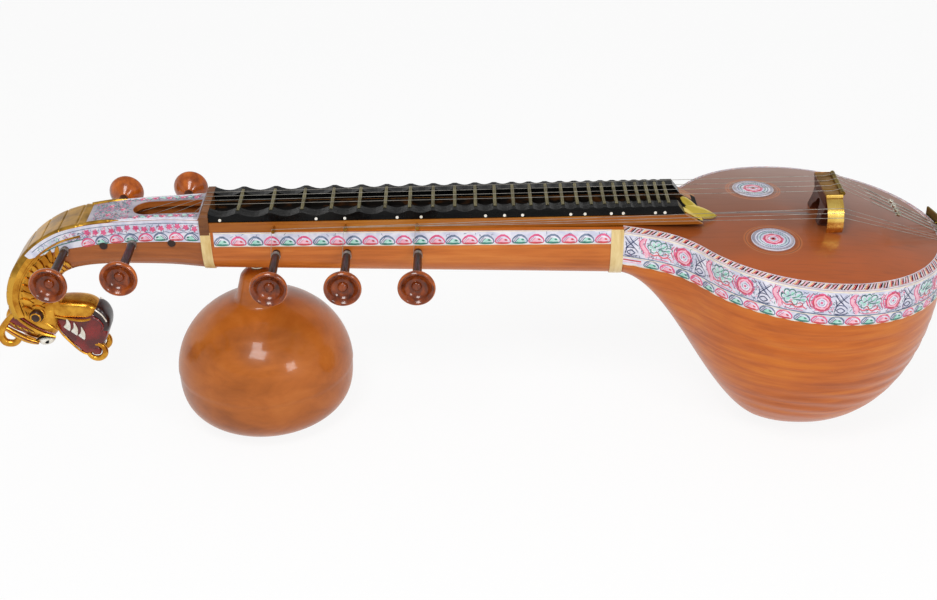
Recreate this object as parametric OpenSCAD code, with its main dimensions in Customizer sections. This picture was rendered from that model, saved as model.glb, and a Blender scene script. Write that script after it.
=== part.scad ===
// Saraswati veena: fretted long-necked lute with a carved bowl, a second gourd resonator,
// a lion-dragon head and seven tuning pegs. Millimetres, Z up, bowl at +X, player's side at -Y.
// Pieces are drawn in the nut frame: X from the nut towards the bowl, Z from the fret tops.

/* [Strings and frets] */
// Speaking length of the melody strings, nut to bridge
scale_len = 840; // [820:5:860]
// Number of frets, equal-tempered semitones
fret_count = 24; // [18:1:24]
// Height of the fret tops above the floor
fret_top_h = 340; // [332:1:350]
// Width and height of a fret bar
fret_w = 5; // [4:0.5:6]
// Length of a fret bar across the neck
fret_len = 66; // [60:1:70]
// Diameter of the melody strings
string_d = 0.7; // [0.5:0.1:1]
// Spacing of the melody strings at the nut
string_gap_nut = 13; // [10:0.5:13]
// Spacing of the melody strings at the bridge
string_gap_bridge = 16; // [14:0.5:18]

/* [Neck] */
// Distance from the nut to the joint between neck and bowl
neck_len = 568; // [550:1:580]
// Length of neck behind the nut, where the pegbox joins
neck_behind = 5; // [4:0.5:8]
// Half width of the neck at the nut
neck_w_head = 45; // [43:0.5:48]
// Half width of the neck at the bowl
neck_w_bowl = 57; // [52:0.5:60]
// Depth of the neck at the nut
neck_d_head = 66; // [62:1:72]
// Depth of the neck at the bowl
neck_d_bowl = 82; // [78:1:88]
// Thickness of the hollow neck's wall
neck_wall = 9; // [7:0.5:10]
// Distance from the fret tops down to the neck's top face
neck_drop = 28; // [26:0.5:32]
// Distance from the fret tops down to the underside of the wax rails
wax_drop = 14; // [12:0.5:16]
// Thickness of the board that closes the neck
cover_t = 4; // [3:0.5:5]
// Half distance between the wax rails
rail_in = 24; // [20:0.5:26]
// Half distance to the outer face of the wax rails
rail_out = 43; // [40:0.5:44]
// Depth of the scallops in the wax, as a share of the fret spacing
scallop_share = 0.14; // [0.1:0.01:0.2]
// Width of the cream joint rings along the neck
ring_w = 17; // [12:1:20]
// Thickness of the joint rings
ring_t = 1.5; // [1:0.1:2]
// Height of the floral band on the neck
neck_band_h = 22; // [18:0.5:24]

/* [Bowl] */
// Radius of the bowl's round part
bowl_r = 190; // [182:1:198]
// Distance from the neck joint to the centre of the round part
bowl_reach = 259; // [250:1:266]
// Wall of the carved bowl
bowl_wall = 16; // [14:0.5:18]
// Fullness of the bowl's profile, 2 is an ellipse
bowl_full = 2.44; // [2.2:0.02:2.8]
// Depth that is flattened off under the bowl and the gourd so that they stand
foot_flat = 2.5; // [1.5:0.5:3]
// Downward tilt of the top plate towards the tail, degrees
plate_tilt = 4.75; // [4:0.25:5.5]
// Thickness of the top plate at its edge, which the rim inlay matches
plate_t = 5; // [4:0.5:6]
// Rise of the crowned top plate at its middle
crown_h = 12; // [8:0.5:14]
// Width of the sloping rim inlay
rim_w = 12; // [10:0.5:13]
// Height of the floral band round the bowl
bowl_band_h = 51; // [44:1:56]
// Thickness of all inlay bands
inlay_t = 1.2; // [1:0.1:1.5]
// Radius of the sound rosettes
rosette_r = 29; // [25:0.5:32]
// Distance of the rosettes from the middle line
rosette_y = 79; // [74:1:86]

/* [Bridge and tail] */
// Height of the bridge's brass plate above the fret tops
bridge_rise = 8; // [6:0.5:9]
// Width of the bridge plate along the strings
bridge_w = 24; // [20:1:28]
// Length of the bridge plate across the strings
bridge_len = 74; // [70:1:80]
// Thickness of the bridge plate
bridge_t = 3; // [2:0.5:4]
// Outer radius of the curved side bridge
strap_r = 30; // [28:0.5:31]
// Thickness of the side bridge
strap_t = 2; // [1.5:0.1:2.5]
// Width of the tailpiece, as an angle round the bowl, degrees
tail_angle = 34; // [26:1:40]
// Thickness of the tailpiece
tail_t = 2.5; // [2:0.1:3]
// Diameter of the heavy wires that hold the melody strings
wire_d = 1.8; // [1.4:0.1:2.2]
// Diameter of a tuning bead
bead_d = 6; // [5:0.5:7]
// Length of a tuning bead
bead_len = 5; // [4:0.5:6]

/* [Pegs] */
// Distance between the four melody pegs along the pegbox
peg_gap = 47; // [44:0.5:49]
// Distance between the three drone pegs, also from the nut to the first
drone_gap = 96.5; // [90:0.5:100]
// Diameter of a peg where it turns in the wood
peg_d = 11; // [9.5:0.5:11.5]
// Diameter of a peg's shank where it meets the head
shank_d = 13; // [12:0.5:14]
// Diameter of a peg's head
peg_head_d = 50; // [46:1:54]
// Free length of a peg, from the wood's face to the middle of its head
peg_free = 99; // [92:1:106]
// Shift of the two near melody pegs towards the head, against the far ones
near_peg_shift = 6.5; // [4:0.5:8]
// Radial clearance of a peg in its hole
peg_fit = 0.05; // [0.02:0.01:0.08]

/* [Head] */
// Reach of the head to the left of the nut
head_reach = 312; // [308:1:320]
// Half width of the yali's skull
skull_w = 27; // [25:0.5:29]

/* [Gourd] */
// Distance of the gourd's axis from the nut
gourd_x = 62; // [58:1:64]
// Greatest radius of the gourd
gourd_r = 125; // [115:1:128]
// Height of the gourd's widest circle above the floor
gourd_belly_h = 79; // [70:1:85]
// Height of the gourd's shoulder above the widest circle
gourd_shoulder_h = 110; // [100:1:115]
// Radius of the gourd's stem at its top
gourd_stem_r = 22; // [20:0.5:25]
// Wall of the dried gourd
gourd_wall = 5; // [4:0.5:6]
// Height of the metal collar between gourd and neck
cup_h = 9; // [8:0.5:12]
// Diameter of the screw that holds the gourd
screw_d = 10; // [8:0.5:12]

/* [Hidden] */

big = 400;
seat = 0.3;
joint_x = neck_len;
bowl_x = joint_x + bowl_reach;
tail_x = bowl_x + bowl_r + inlay_t + tail_t;
nut_x = (head_reach - tail_x) / 2;
floor_z = -fret_top_h;
top_z = -neck_drop;
neck_full = 3.2;
last_fret_x = fret_x(fret_count);
ledge_end_x = last_fret_x + 12;

// Even steps used to divide the curved faces
shoulder_steps = 12;
tail_steps = 30;
band_steps = 3;
depth_steps = 11;
row_count = 2 * shoulder_steps + tail_steps;

function fret_x(n) = scale_len * (1 - pow(2, -n / 12));
function lerp(a, b, t) = a + (b - a) * t;
function clamp01(t) = max(0, min(1, t));
function ease(t) = let (c = clamp01(t)) c * c * (3 - 2 * c);
// Cubic between two heights a and b with end slopes sa and sb over the length h
function cubic(a, sa, b, sb, h, t) =
  (2 * t * t * t - 3 * t * t + 1) * a + (t * t * t - 2 * t * t + t) * h * sa
  + (3 * t * t - 2 * t * t * t) * b + (t * t * t - t * t) * h * sb;
// Smooth curve through the points of a list, u counts the points
function through(p, u) =
  let (
    n = len(p) - 1,
    i = max(0, min(n - 1, floor(u))),
    t = u - i,
    a = p[max(0, i - 1)], b = p[i], c = p[i + 1], d = p[min(n, i + 2)]
  )
  0.5 * (2 * b + (c - a) * t + (2 * a - 5 * b + 4 * c - d) * t * t
  + (3 * b - a - 3 * c + d) * t * t * t);

// Superellipse: half width left at the depth share f, for the fullness p
function full_width(f, p) = pow(max(0, 1 - pow(min(1, f), p)), 1 / p);
// Depth shares down a wall of depth d: even steps over the band, then even angles to the keel
function depth_share(k, d, band, p) =
  k <= band_steps ? band * k / band_steps / d
  : let (
      start = asin(pow(band / d, p / 2)),
      a = lerp(start, 90, (k - band_steps) / (depth_steps - band_steps))
    ) pow(sin(a), 2 / p);

module place() {
  translate([nut_x, 0, fret_top_h]) children();
}

// Closed solid through rings of points; each ring has the same count
module skin(rings) {
  m = len(rings[0]);
  n = len(rings) - 1;
  points = [for (r = rings) each r];
  sides = [
    for (i = [0:n - 1], j = [0:m - 1])
      let (a = i * m + j, b = i * m + (j + 1) % m, c = b + m, d = a + m)
        each [[a, b, c], [a, c, d]]
  ];
  polyhedron(
    points,
    concat(sides, [[for (j = [m - 1:-1:0]) j]], [[for (j = [0:m - 1]) n * m + j]])
  );
}

// Thick sheet between an outer and an inner grid of points
module sheet(outer, inner) {
  n = len(outer) - 1;
  m = len(outer[0]);
  skin_loop = [for (i = [0:n]) concat(outer[i], [for (j = [m - 1:-1:0]) inner[i][j]])];
  loop = 2 * m;
  points = [for (r = skin_loop) each r];
  // The inner face is cut along the same diagonals as the outer one, so that sheets meet face to face
  sides = [
    for (i = [0:n - 1], j = [0:loop - 1])
      let (a = i * loop + j, b = i * loop + (j + 1) % loop, c = b + loop, d = a + loop)
        each j < m ? [[a, b, c], [a, c, d]] : [[a, b, d], [b, c, d]]
  ];
  // Ends are strips, because a bent outline makes a poor single face
  ends = [
    for (j = [0:m - 2])
      let (a = j, b = j + 1, c = loop - 2 - j, d = loop - 1 - j, e = n * loop)
        each [[a, c, b], [a, d, c], [e + a, e + b, e + c], [e + a, e + c, e + d]]
  ];
  polyhedron(points, concat(sides, ends));
}

// Bowl, plate and rim

// Height of the top plate's plane at x; it falls towards the tail
function plane_z(x) = top_z - tan(plate_tilt) * (x - joint_x);
// Height of the bowl's upper edge, under plate and rim inlay
function rim_z(x) = plane_z(x) - plate_t;
shoulder_x = bowl_x - 153;
shoulder_w = sqrt(bowl_r * bowl_r - pow(shoulder_x - bowl_x, 2));
shoulder_slope = (bowl_x - shoulder_x) / shoulder_w;
// Half width of the pear-shaped plan
function bowl_w(x) =
  x < shoulder_x
  ? cubic(neck_w_bowl, 0.24, shoulder_w, shoulder_slope, shoulder_x - joint_x,
      (x - joint_x) / (shoulder_x - joint_x))
  : sqrt(max(0, bowl_r * bowl_r - pow(x - bowl_x, 2)));
// Depth of the keel below the neck's top face
bowl_drop = fret_top_h - neck_drop + foot_flat;
keel_x = bowl_x - 62;
keel_d = bowl_drop * full_width((bowl_x - keel_x) / bowl_r, bowl_full);
keel_slope = bowl_drop * pow((bowl_x - keel_x) / bowl_r, bowl_full - 1) / bowl_r
  * pow(1 - pow((bowl_x - keel_x) / bowl_r, bowl_full), 1 / bowl_full - 1);
function keel_z(x) =
  top_z - (x < keel_x
  ? cubic(neck_d_bowl, 0.15, keel_d, keel_slope, keel_x - joint_x, (x - joint_x) / (keel_x - joint_x))
  : bowl_drop * full_width(abs(x - bowl_x) / bowl_r, bowl_full));
// A row is a cut from the rim to the keel: axis x, direction, radius, share of the way along the neck
function row(i, start, inset) =
  let (tail_i = i - shoulder_steps)
  tail_i <= 0 ? let (x = lerp(start, bowl_x, i / shoulder_steps)) [x, 0, -1, bowl_w(x) - inset]
  : tail_i >= tail_steps
  ? let (x = lerp(bowl_x, start, (tail_i - tail_steps) / shoulder_steps)) [x, 0, 1, bowl_w(x) - inset]
  : let (a = -90 + 180 * tail_i / tail_steps) [bowl_x, cos(a), sin(a), bowl_r - inset];
function row_fullness(r) = lerp(neck_full, bowl_full, ease((r[0] - joint_x) / bowl_reach * 1.3));
// Point of a row, out from the axis by the share g of its radius plus extra, at the height z
function row_point(r, g, extra, z) =
  [r[0] + r[1] * (r[3] * g + extra), r[2] * (r[3] * g + extra), z];
function rim_x(r) = r[0] + r[1] * r[3];
// Point on the bowl's wall
function wall_point(i, k, start, inset, raise, extra) =
  let (
    r = row(i, start, inset),
    rim = rim_z(rim_x(row(i, start, 0))),
    depth = rim - keel_z(r[0]) - raise,
    p = row_fullness(r),
    f = depth_share(k, depth, bowl_band_h, p)
  )
  row_point(r, full_width(f, p), extra, raise > 0 ? max(floor_z + raise, rim - f * depth) : rim - f * depth);

// Closed cup between two grids that meet the middle line at their last column
module cup(outer, inner, open_end) {
  kk = len(outer[0]) - 1;
  grid = (row_count + 1) * (kk + 1);
  points = concat([for (r = outer) each r], [for (r = inner) each r]);
  far = shoulder_steps + tail_steps;
  function at(i, k) =
    k < kk || i <= shoulder_steps ? i * (kk + 1) + k
    : i >= far ? (row_count - i) * (kk + 1) + kk
    : shoulder_steps * (kk + 1) + kk;
  quads = [
    for (i = [0:row_count - 1], k = [0:kk - 1])
      [at(i, k), at(i + 1, k), at(i + 1, k + 1), at(i, k + 1)]
  ];
  edge = [for (i = [0:row_count - 1]) [at(i + 1, 0), at(i, 0), at(i, 0) + grid, at(i + 1, 0) + grid]];
  n = row_count;
  // Neck end: one flat face outside, one inside and the rim between, or a strip where it is thin
  closed = [
    concat([for (k = [0:kk]) at(0, k)], [for (k = [kk - 1:-1:0]) at(n, k)]),
    concat([for (k = [0:kk - 1]) at(n, k) + grid], [for (k = [kk:-1:0]) at(0, k) + grid]),
    [at(0, 0), at(n, 0), at(n, 0) + grid, at(0, 0) + grid]
  ];
  strip = [
    for (k = [0:kk - 1]) each [
      [at(0, k), at(0, k + 1), at(0, k + 1) + grid, at(0, k) + grid],
      [at(n, k + 1), at(n, k), at(n, k) + grid, at(n, k + 1) + grid]
    ]
  ];
  function tris(q, turn) =
    [
      for (t = [[q[0], q[1], q[2]], [q[0], q[2], q[3]]])
        if (t[0] != t[1] && t[1] != t[2] && t[0] != t[2]) turn ? [t[2], t[1], t[0]] : t
    ];
  walls = [
    for (q = quads) each concat(tris(q, false), tris([for (v = q) v + grid], true))
  ];
  rims = [for (q = edge) each tris(q, false)];
  ends = open_end ? [for (q = strip) each tris(q, false)] : closed;
  polyhedron(points, concat(walls, rims, ends));
}

module bowl() {
  end_wall = 14;
  color("peru") place() difference() {
    cup(
      [for (i = [0:row_count]) [for (k = [0:depth_steps]) wall_point(i, k, joint_x, 0, 0, 0)]],
      [
        for (i = [0:row_count])
          [for (k = [0:depth_steps]) wall_point(i, k, joint_x + end_wall, bowl_wall, bowl_wall, 0)]
      ],
      false
    );
    // Flat foot
    translate([bowl_x - bowl_r, -bowl_r, floor_z - 2 * foot_flat])
      cube([2 * bowl_r, 2 * bowl_r, 2 * foot_flat]);
  }
}

// Height of the crowned plate's face, as a share of the way out from the middle
function crown_z(x, g) =
  plane_z(x) + crown_h * ease((x - joint_x - 55) / (bowl_reach - 80)) * (1 - g * g);
crown_steps = 8;
module plate_solid() {
  share = [for (k = [0:crown_steps]) 1 - k / crown_steps];
  cup(
    [
      for (i = [0:row_count])
        let (r = row(i, joint_x + seat / 3, rim_w + 0.1))
          [for (g = share) let (q = row_point(r, g, 0, 0)) [q[0], q[1], rim_z(q[0])]]
    ],
    [
      for (i = [0:row_count])
        let (r = row(i, joint_x + seat / 3, rim_w + 0.1))
          [for (g = share) let (q = row_point(r, g, 0, 0)) [q[0], q[1], crown_z(q[0], g)]]
    ],
    true
  );
}
rosette_x = bowl_x - 62;
// Seat of a rosette: on the crowned plate, square to its slope
module rosette_place(side) {
  g = rosette_y / bowl_w(rosette_x);
  slope = atan(2 * crown_h * g / bowl_w(rosette_x));
  translate([rosette_x, side * rosette_y, crown_z(rosette_x, g)])
    rotate([-side * slope, plate_tilt, 0]) children();
}
module top_plate() {
  color("sienna") place() difference() {
    plate_solid();
    for (side = [-1, 1])
      rosette_place(side) cylinder(h = 30, r = rosette_r + 0.1, center = true, $fn = 64);
  }
}
module rosette(side) {
  hole_r = 3.4;
  color("thistle") place() rosette_place(side) difference() {
    translate([0, 0, -plate_t]) cylinder(h = plate_t + 0.8, r = rosette_r, $fn = 64);
    translate([0, 0, 0.3]) difference() {
      cylinder(h = 2, r = rosette_r * 0.72, $fn = 64);
      translate([0, 0, -1]) cylinder(h = 4, r = rosette_r * 0.62, $fn = 64);
    }
    cylinder(h = 30, r = hole_r, center = true, $fn = 32);
  }
}
module rim_inlay() {
  lip = 1;
  color("lavender") place() skin([
    for (i = [0:row_count])
      let (
        r = row(i, joint_x, 0),
        edge = rim_z(rim_x(r)),
        inner = rim_z(r[0] + r[1] * (r[3] - rim_w))
      )
        [
          row_point(r, 1, 0, edge), row_point(r, 1, 0, edge + lip),
          row_point(r, 1, -rim_w, inner + plate_t), row_point(r, 1, -rim_w, inner)
        ]
  ]);
}
module bowl_inlay() {
  color("lavender") place() sheet(
    [
      for (i = [0:row_count])
        [for (k = [0:band_steps]) wall_point(i, k, joint_x, 0, 0, inlay_t)]
    ],
    [for (i = [0:row_count]) [for (k = [0:band_steps]) wall_point(i, k, joint_x, 0, 0, 0)]]
  );
}

// Neck

function neck_w(x) = lerp(neck_w_head, neck_w_bowl, (x + neck_behind) / (neck_len + neck_behind));
function neck_d(x) = lerp(neck_d_head, neck_d_bowl, (x + neck_behind) / (neck_len + neck_behind));
// Point of the neck's U section; k runs from the near edge under the keel to the far edge
function neck_point(x, k, inset, extra) =
  let (
    side = k <= depth_steps ? -1 : 1,
    kk = side < 0 ? k : 2 * depth_steps - k,
    d = neck_d(x) - inset,
    f = depth_share(kk, d, neck_band_h, neck_full),
    g = full_width(f, neck_full),
    w = neck_w(x) - inset + extra
  )
  [x, side * w * g, top_z - (d + extra) * f];
function neck_row(x, k0, k1, inset, extra) = [for (k = [k0:k1]) neck_point(x, k, inset, extra)];
// Length of the nut along the neck in front of its crest
nut_front = 8;
// Stations that the trough shares with its rings and inlays
neck_stations = [
  -neck_behind, nut_front + 1, nut_front + 5, neck_len - ring_w, neck_len
];
module neck_sheet(x0, x1, k0, k1, inset_in, extra) {
  stations = [for (x = neck_stations) if (x >= x0 && x <= x1) x];
  sheet(
    [for (x = stations) neck_row(x, k0, k1, 0, extra)],
    [for (x = stations) neck_row(x, k0, k1, inset_in, 0)]
  );
}
module neck() {
  color("peru") difference() {
    place() neck_sheet(-neck_behind, neck_len, 0, 2 * depth_steps, neck_wall, 0);
    for (i = [1:3]) drone_place(i) peg_hole(neck_w_bowl * 2);
    screw_place() cylinder(h = 3 * neck_wall, d = screw_d, center = true, $fn = 48);
    screw_place() translate([0, 0, screw_seat]) cylinder(h = neck_wall, d = screw_head_d + 2, $fn = 48);
  }
}
module neck_inlays() {
  color("lavender") place() for (k = [0, 2 * depth_steps - band_steps])
    neck_sheet(nut_front + 5, neck_len - ring_w, k, k + band_steps, 0, inlay_t);
}
module ring_head() {
  color("wheat") place() neck_sheet(-neck_behind, nut_front + 1, 0, 2 * depth_steps, 0, ring_t);
}
module ring_bowl() {
  color("wheat") place()
    neck_sheet(neck_len - ring_w, neck_len, 0, 2 * depth_steps, 0, ring_t);
}

// Fret board: cover, ledges, wax and frets

ledge_out = neck_w_head;
ledge_in = 22;
cover_out = ledge_out - 5;
ledge_toe = 24;
wax_end_run = 10;
// Slanted end that ledges and cover share, from the wax down to the neck's top face
module ledge_end_cut() {
  translate([ledge_end_x + wax_end_run, 0, -wax_drop]) rotate([90, 0, 0])
    linear_extrude(height = big, center = true)
      polygon([[0, 0], [big, 0], [big, -big], [ledge_toe * 4, -4 * (neck_drop - wax_drop)]]);
}
module ledge(side) {
  color("goldenrod") place() difference() {
    translate([nut_front, 0, 0]) rotate([90, 0, 90])
      linear_extrude(height = ledge_end_x + wax_end_run + ledge_toe + 5 - nut_front)
        polygon([
          [side * ledge_in, -wax_drop], [side * ledge_out, -wax_drop],
          [side * ledge_out, top_z], [side * cover_out, top_z],
          [side * cover_out, top_z + cover_t], [side * ledge_in, top_z + cover_t]
        ]);
    ledge_end_cut();
  }
}
module neck_cover() {
  color("darkslategray") place() difference() {
    translate([nut_front, -cover_out, top_z])
      cube([ledge_end_x + wax_end_run + ledge_toe - nut_front, 2 * cover_out, cover_t]);
    ledge_end_cut();
  }
}
wax_peak = 1;
notch_d = fret_w;
function gap_start(j) = j == 0 ? nut_front : fret_x(j) + fret_w / 2;
function gap_end(j) = j == fret_count ? ledge_end_x : fret_x(j + 1) - fret_w / 2;
// Top line of a wax rail: a hollow between each two frets, a notch at each fret when asked
function wax_line(notched) =
  [
    for (j = [0:fret_count])
      let (
        a = gap_start(j),
        b = gap_end(j),
        deep = scallop_share * (b - a),
        steps = j == fret_count ? 1 : 6,
        hollow = [
          for (s = [0:steps])
            [lerp(a, b, s / steps), -wax_peak - (steps == 1 ? 0 : deep * sin(180 * s / steps))]
        ]
      )
        each (notched && j < fret_count ? concat(hollow, [[b, -notch_d], [b + fret_w, -notch_d]]) : hollow)
  ];
module wax(side) {
  module strip(y0, y1, notched) {
    translate([0, side > 0 ? y1 : -y0, 0]) rotate([90, 0, 0]) linear_extrude(height = y1 - y0)
      polygon(concat(
        [[ledge_end_x + wax_end_run, -wax_drop], [nut_front, -wax_drop]],
        wax_line(notched)
      ));
  }
  color("#1c1c20") place() {
    strip(rail_in, fret_len / 2, true);
    strip(fret_len / 2, rail_out, false);
  }
}
module frets() {
  color("darkkhaki") place() for (n = [1:fret_count])
    translate([fret_x(n), fret_len / 2, 0]) rotate([90, 0, 0]) linear_extrude(height = fret_len) {
      translate([0, -fret_w / 2]) circle(d = fret_w, $fn = 32);
      translate([-fret_w / 2, -fret_w]) square([fret_w, fret_w / 2]);
    }
}
dot_spaces = [1, 4, 5, 7, 8, 11, 12, 13, 16, 17, 19, 20, 23, 24];
module fret_dots() {
  dot_d = 4;
  color("white") place() for (n = dot_spaces) if (n <= fret_count)
    translate([(fret_x(n - 1) + fret_x(n)) / 2, -rail_out, -wax_drop + 3.5]) rotate([90, 0, 0])
      cylinder(h = 0.8, d = dot_d, $fn = 24);
}
nut_rise = 1.5;
nut_cheek = 3;
module nut() {
  w = neck_w_head + ring_t + 0.5;
  low = top_z - nut_cheek;
  color("saddlebrown") place() intersection() {
    translate([-neck_behind, 0, 0]) rotate([90, 0, 90])
      linear_extrude(height = neck_behind + nut_front)
        polygon([
          [-w, low], [-w, -4], [-w + 2, -1], [-w + 8, nut_rise],
          [w - 8, nut_rise], [w - 2, -1], [w, -4], [w, low],
          [w - 0.4, low], [w - 0.4, top_z], [-w + 0.4, top_z], [-w + 0.4, low]
        ]);
    // Seen from the side the top slopes away from its crest, and steeply towards the pegs
    rotate([90, 0, 0]) linear_extrude(height = 4 * w, center = true)
      polygon([
        [-neck_behind, low - 1], [-neck_behind, -neck_behind * 1.2], [-0.5, nut_rise],
        [2, nut_rise], [nut_front, nut_rise - 1], [nut_front, low - 1]
      ]);
  }
}
// Two gilded leaves on the slanted end of the fret board
module leaf(length) {
  r = length * 0.72;
  linear_extrude(height = 2) intersection() {
    translate([length / 2, r * 0.7]) circle(r = r, $fn = 48);
    translate([length / 2, -r * 0.7]) circle(r = r, $fn = 48);
  }
}
module ledge_leaves() {
  slope = atan((neck_drop - wax_drop) / ledge_toe);
  color("gold") place() translate([ledge_end_x + wax_end_run, 0, -wax_drop]) rotate([0, slope, 0]) {
    translate([1, -32, 0.1]) rotate([0, 0, 8]) leaf(26);
    translate([1, -12, 0.1]) rotate([0, 0, -8]) leaf(26);
  }
}

// Pegbox and gooseneck: top line, under line and half width at the same stations

spine_top = [
  [-neck_behind, -10], [-50, -10.5], [-100, -12.5], [-140, -16], [-173, -21.5], [-206, -32],
  [-238, -52], [-263, -79], [-279, -108], [-286, -138], [-282, -168]
];
spine_under = [
  [-neck_behind, -94], [-50, -90], [-98, -88], [-134, -88], [-163, -89.5], [-187, -94],
  [-203, -101], [-213, -111], [-218, -124], [-219, -138], [-213, -153]
];
spine_w = [43.5, 38.5, 37, 35, 34, 32.5, 31.5, 30, 29, 28, 27];
spine_band = [29, 29, 28, 27, 26, 22, 13, 5, 5, 5, 5];
spine_full = 3.6;
// All pieces along the spine share these stations, so that their faces meet
spine_step = 0.25;
pegbox_end_u = 5.5;
neck_end_u = 10;
band_top = 4;
function spine_point(u, f, side, extra) =
  let (a = through(spine_top, u), b = through(spine_under, u), w = through(spine_w, u))
  [
    lerp(a[0], b[0], f), side * (w * full_width(f, spine_full) + extra), lerp(a[1], b[1], f)
  ];
function spine_depth(u) = norm(through(spine_under, u) - through(spine_top, u));
function spine_shares(u) =
  let (
    d = spine_depth(u),
    a0 = band_top / d,
    a1 = (band_top + through(spine_band, u)) / d,
    start = asin(pow(a1, spine_full / 2))
  )
  concat([0, a0, (a0 + a1) / 2, a1],
    [for (s = [1:6]) pow(sin(lerp(start, 90, s / 6)), 2 / spine_full)]);
function spine_ring(u) =
  let (f = spine_shares(u), n = len(f) - 1)
  concat(
    [for (k = [0:n]) spine_point(u, f[k], -1, 0)],
    [for (k = [n - 1:-1:0]) spine_point(u, f[k], 1, 0)]
  );
module spine_solid(u0, u1) {
  skin([for (u = [u0:spine_step:u1]) spine_ring(u)]);
}
cavity_wall = 9;
slot_w = 40;
slot_len = 92;
slot_x = -neck_behind - 3;
module pegbox_slot(grow) {
  translate([slot_x - slot_len, 0, -45]) linear_extrude(height = 60) {
    translate([slot_w / 2, 0]) circle(d = slot_w + 2 * grow, $fn = 48);
    translate([slot_w / 2, -slot_w / 2 - grow]) square([slot_len - slot_w / 2, slot_w + 2 * grow]);
  }
}
module pegbox_cavity() {
  roof = 8;
  left = -212;
  depth = 76;
  rotate([90, 0, 0]) linear_extrude(height = 2 * (spine_w[3] - cavity_wall), center = true)
    polygon(concat(
      [[slot_x, -depth], [slot_x, spine_top[0][1] - roof]],
      [for (u = [1:5]) [spine_top[u][0], spine_top[u][1] - roof]],
      [[left + 10, -depth + 4]]
    ));
}
module pegbox() {
  color("chocolate") difference() {
    place() spine_solid(0, pegbox_end_u);
    place() pegbox_cavity();
    place() pegbox_slot(0);
    for (i = [1:4]) peg_place(i) peg_hole(2 * spine_w[0]);
  }
}
module pegbox_plate() {
  plate_end_u = 4;
  margin = 3;
  t = 1;
  color("lavender") place() difference() {
    skin([
      for (u = [0:spine_step:plate_end_u])
        let (
          a = through(spine_top, u),
          w = through(spine_w, u) - margin - 9 * ease((u - 3) / 2)
        )
          [[a[0], -w, a[1]], [a[0], w, a[1]], [a[0], w, a[1] + t], [a[0], -w, a[1] + t]]
    ]);
    pegbox_slot(1);
  }
}
module pegbox_inlays() {
  function strip(side, out) = [
    for (u = [0:spine_step:6.5])
      let (f = spine_shares(u))
        [for (k = [1:3]) spine_point(u, f[side < 0 ? k : 4 - k], side, out)]
  ];
  color("lavender") difference() {
    place() for (side = [-1, 1]) sheet(strip(side, inlay_t), strip(side, 0));
    for (i = [1:4]) peg_place(i)
      cylinder(h = 4 * spine_w[0], d = peg_d + 2 * seat, center = true, $fn = 48);
  }
}
module gooseneck() {
  color("gold") place() spine_solid(pegbox_end_u, neck_end_u);
}
// Ribbed back of the gooseneck: pillowed plates along the outer curve
module crest_plates() {
  plates = 7;
  start_u = 4.75;
  plate_steps = 3;
  plate_h = 3;
  joint_h = 1.6;
  inset = 4;
  function back(u, y, out) =
    let (
      a = through(spine_top, u),
      t = through(spine_top, min(u + 0.05, neck_end_u)) - through(spine_top, u - 0.05),
      n = [t[1], -t[0]] / norm(t)
    ) [a[0] + n[0] * out, y, a[1] + n[1] * out];
  for (i = [0:plates - 1])
    skin([
      for (s = [0:plate_steps])
        let (
          u = start_u + (plate_steps * i + s) * spine_step,
          w = through(spine_w, u) - inset,
          h = s == 0 || s == plate_steps ? joint_h : plate_h
        )
          [back(u, -w, 0), back(u, w, 0), back(u, w * 0.8, h), back(u, -w * 0.8, h)]
    ]);
}
module neck_crest() {
  color("goldenrod") place() crest_plates();
}

// Yali head

neck_end = spine_top[neck_end_u];
end_run = spine_under[neck_end_u] - neck_end;
snout_w = 20;
mouth_w = 20;
muzzle_w = 19;
eye_r = 9.5;
knob_r = 10;
horn_d = 11;
horn_y = skull_w - 3;
ring_r = 11.4;
ring_tube = 4.6;
ring_y = mouth_w - ring_tube - 1;
module ball_hull(list) {
  hull() for (b = list) translate([b[0], b[1], b[2]]) sphere(r = b[3], $fn = 16);
}
// Rounded block with the side outline given by points, half width w and edge radius r
module block(outline, w, r) {
  hull() for (p = outline, s = [-1, 1])
    translate([p[0], s * (w - r), p[1]]) sphere(r = r, $fn = 12);
}
module skull_form() {
  difference() {
    ball_hull([
      [-266, -skull_w + 22, -170, 22], [-266, skull_w - 22, -170, 22],
      [-262, -skull_w + 18, -190, 18], [-262, skull_w - 18, -190, 18],
      [-238, 0, -176, 20], [-245, 0, -196, 14]
    ]);
    // The gooseneck's end face
    translate([neck_end[0], 0, neck_end[1]]) rotate([0, -atan2(end_run[1], end_run[0]), 0])
      translate([-60, -60, -0.1]) cube([200, 120, 100]);
  }
}
module snout_form() {
  block([[-208, -157], [-181, -159], [-174, -165], [-188, -168], [-228, -165]], snout_w, 8);
}
module mouth_form() {
  block([[-222, -177], [-172, -176], [-166, -190], [-170, -214], [-179, -227], [-193, -231], [-219, -195]],
    mouth_w, 5);
}
module muzzle_form() {
  block([[-169, -166], [-161, -177], [-160, -187], [-166, -196]], muzzle_w, 7);
}
// Ring at each corner of the lower jaw; angle is the share of it that is there
module jaw_rings(angle) {
  for (side = [-1, 1])
    translate([-169, side * ring_y, -223]) rotate([90, 0, 0]) rotate([0, 0, -170])
      rotate_extrude(angle = angle, $fn = 48) translate([ring_r, 0]) circle(r = ring_tube, $fn = 24);
}
module yali_skull() {
  color("gold") place() skull_form();
}
module yali_snout() {
  color("gold") place() difference() {
    snout_form();
    skull_form();
    spine_solid(8, neck_end_u);
  }
}
module yali_muzzle() {
  color("#4a1010") place() difference() {
    muzzle_form();
    snout_form();
  }
}
module yali_mouth() {
  color("darkred") place() difference() {
    mouth_form();
    skull_form();
    snout_form();
    muzzle_form();
    jaw_rings(360);
  }
}
module yali_curl() {
  color("gold") place() jaw_rings(270);
}
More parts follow.
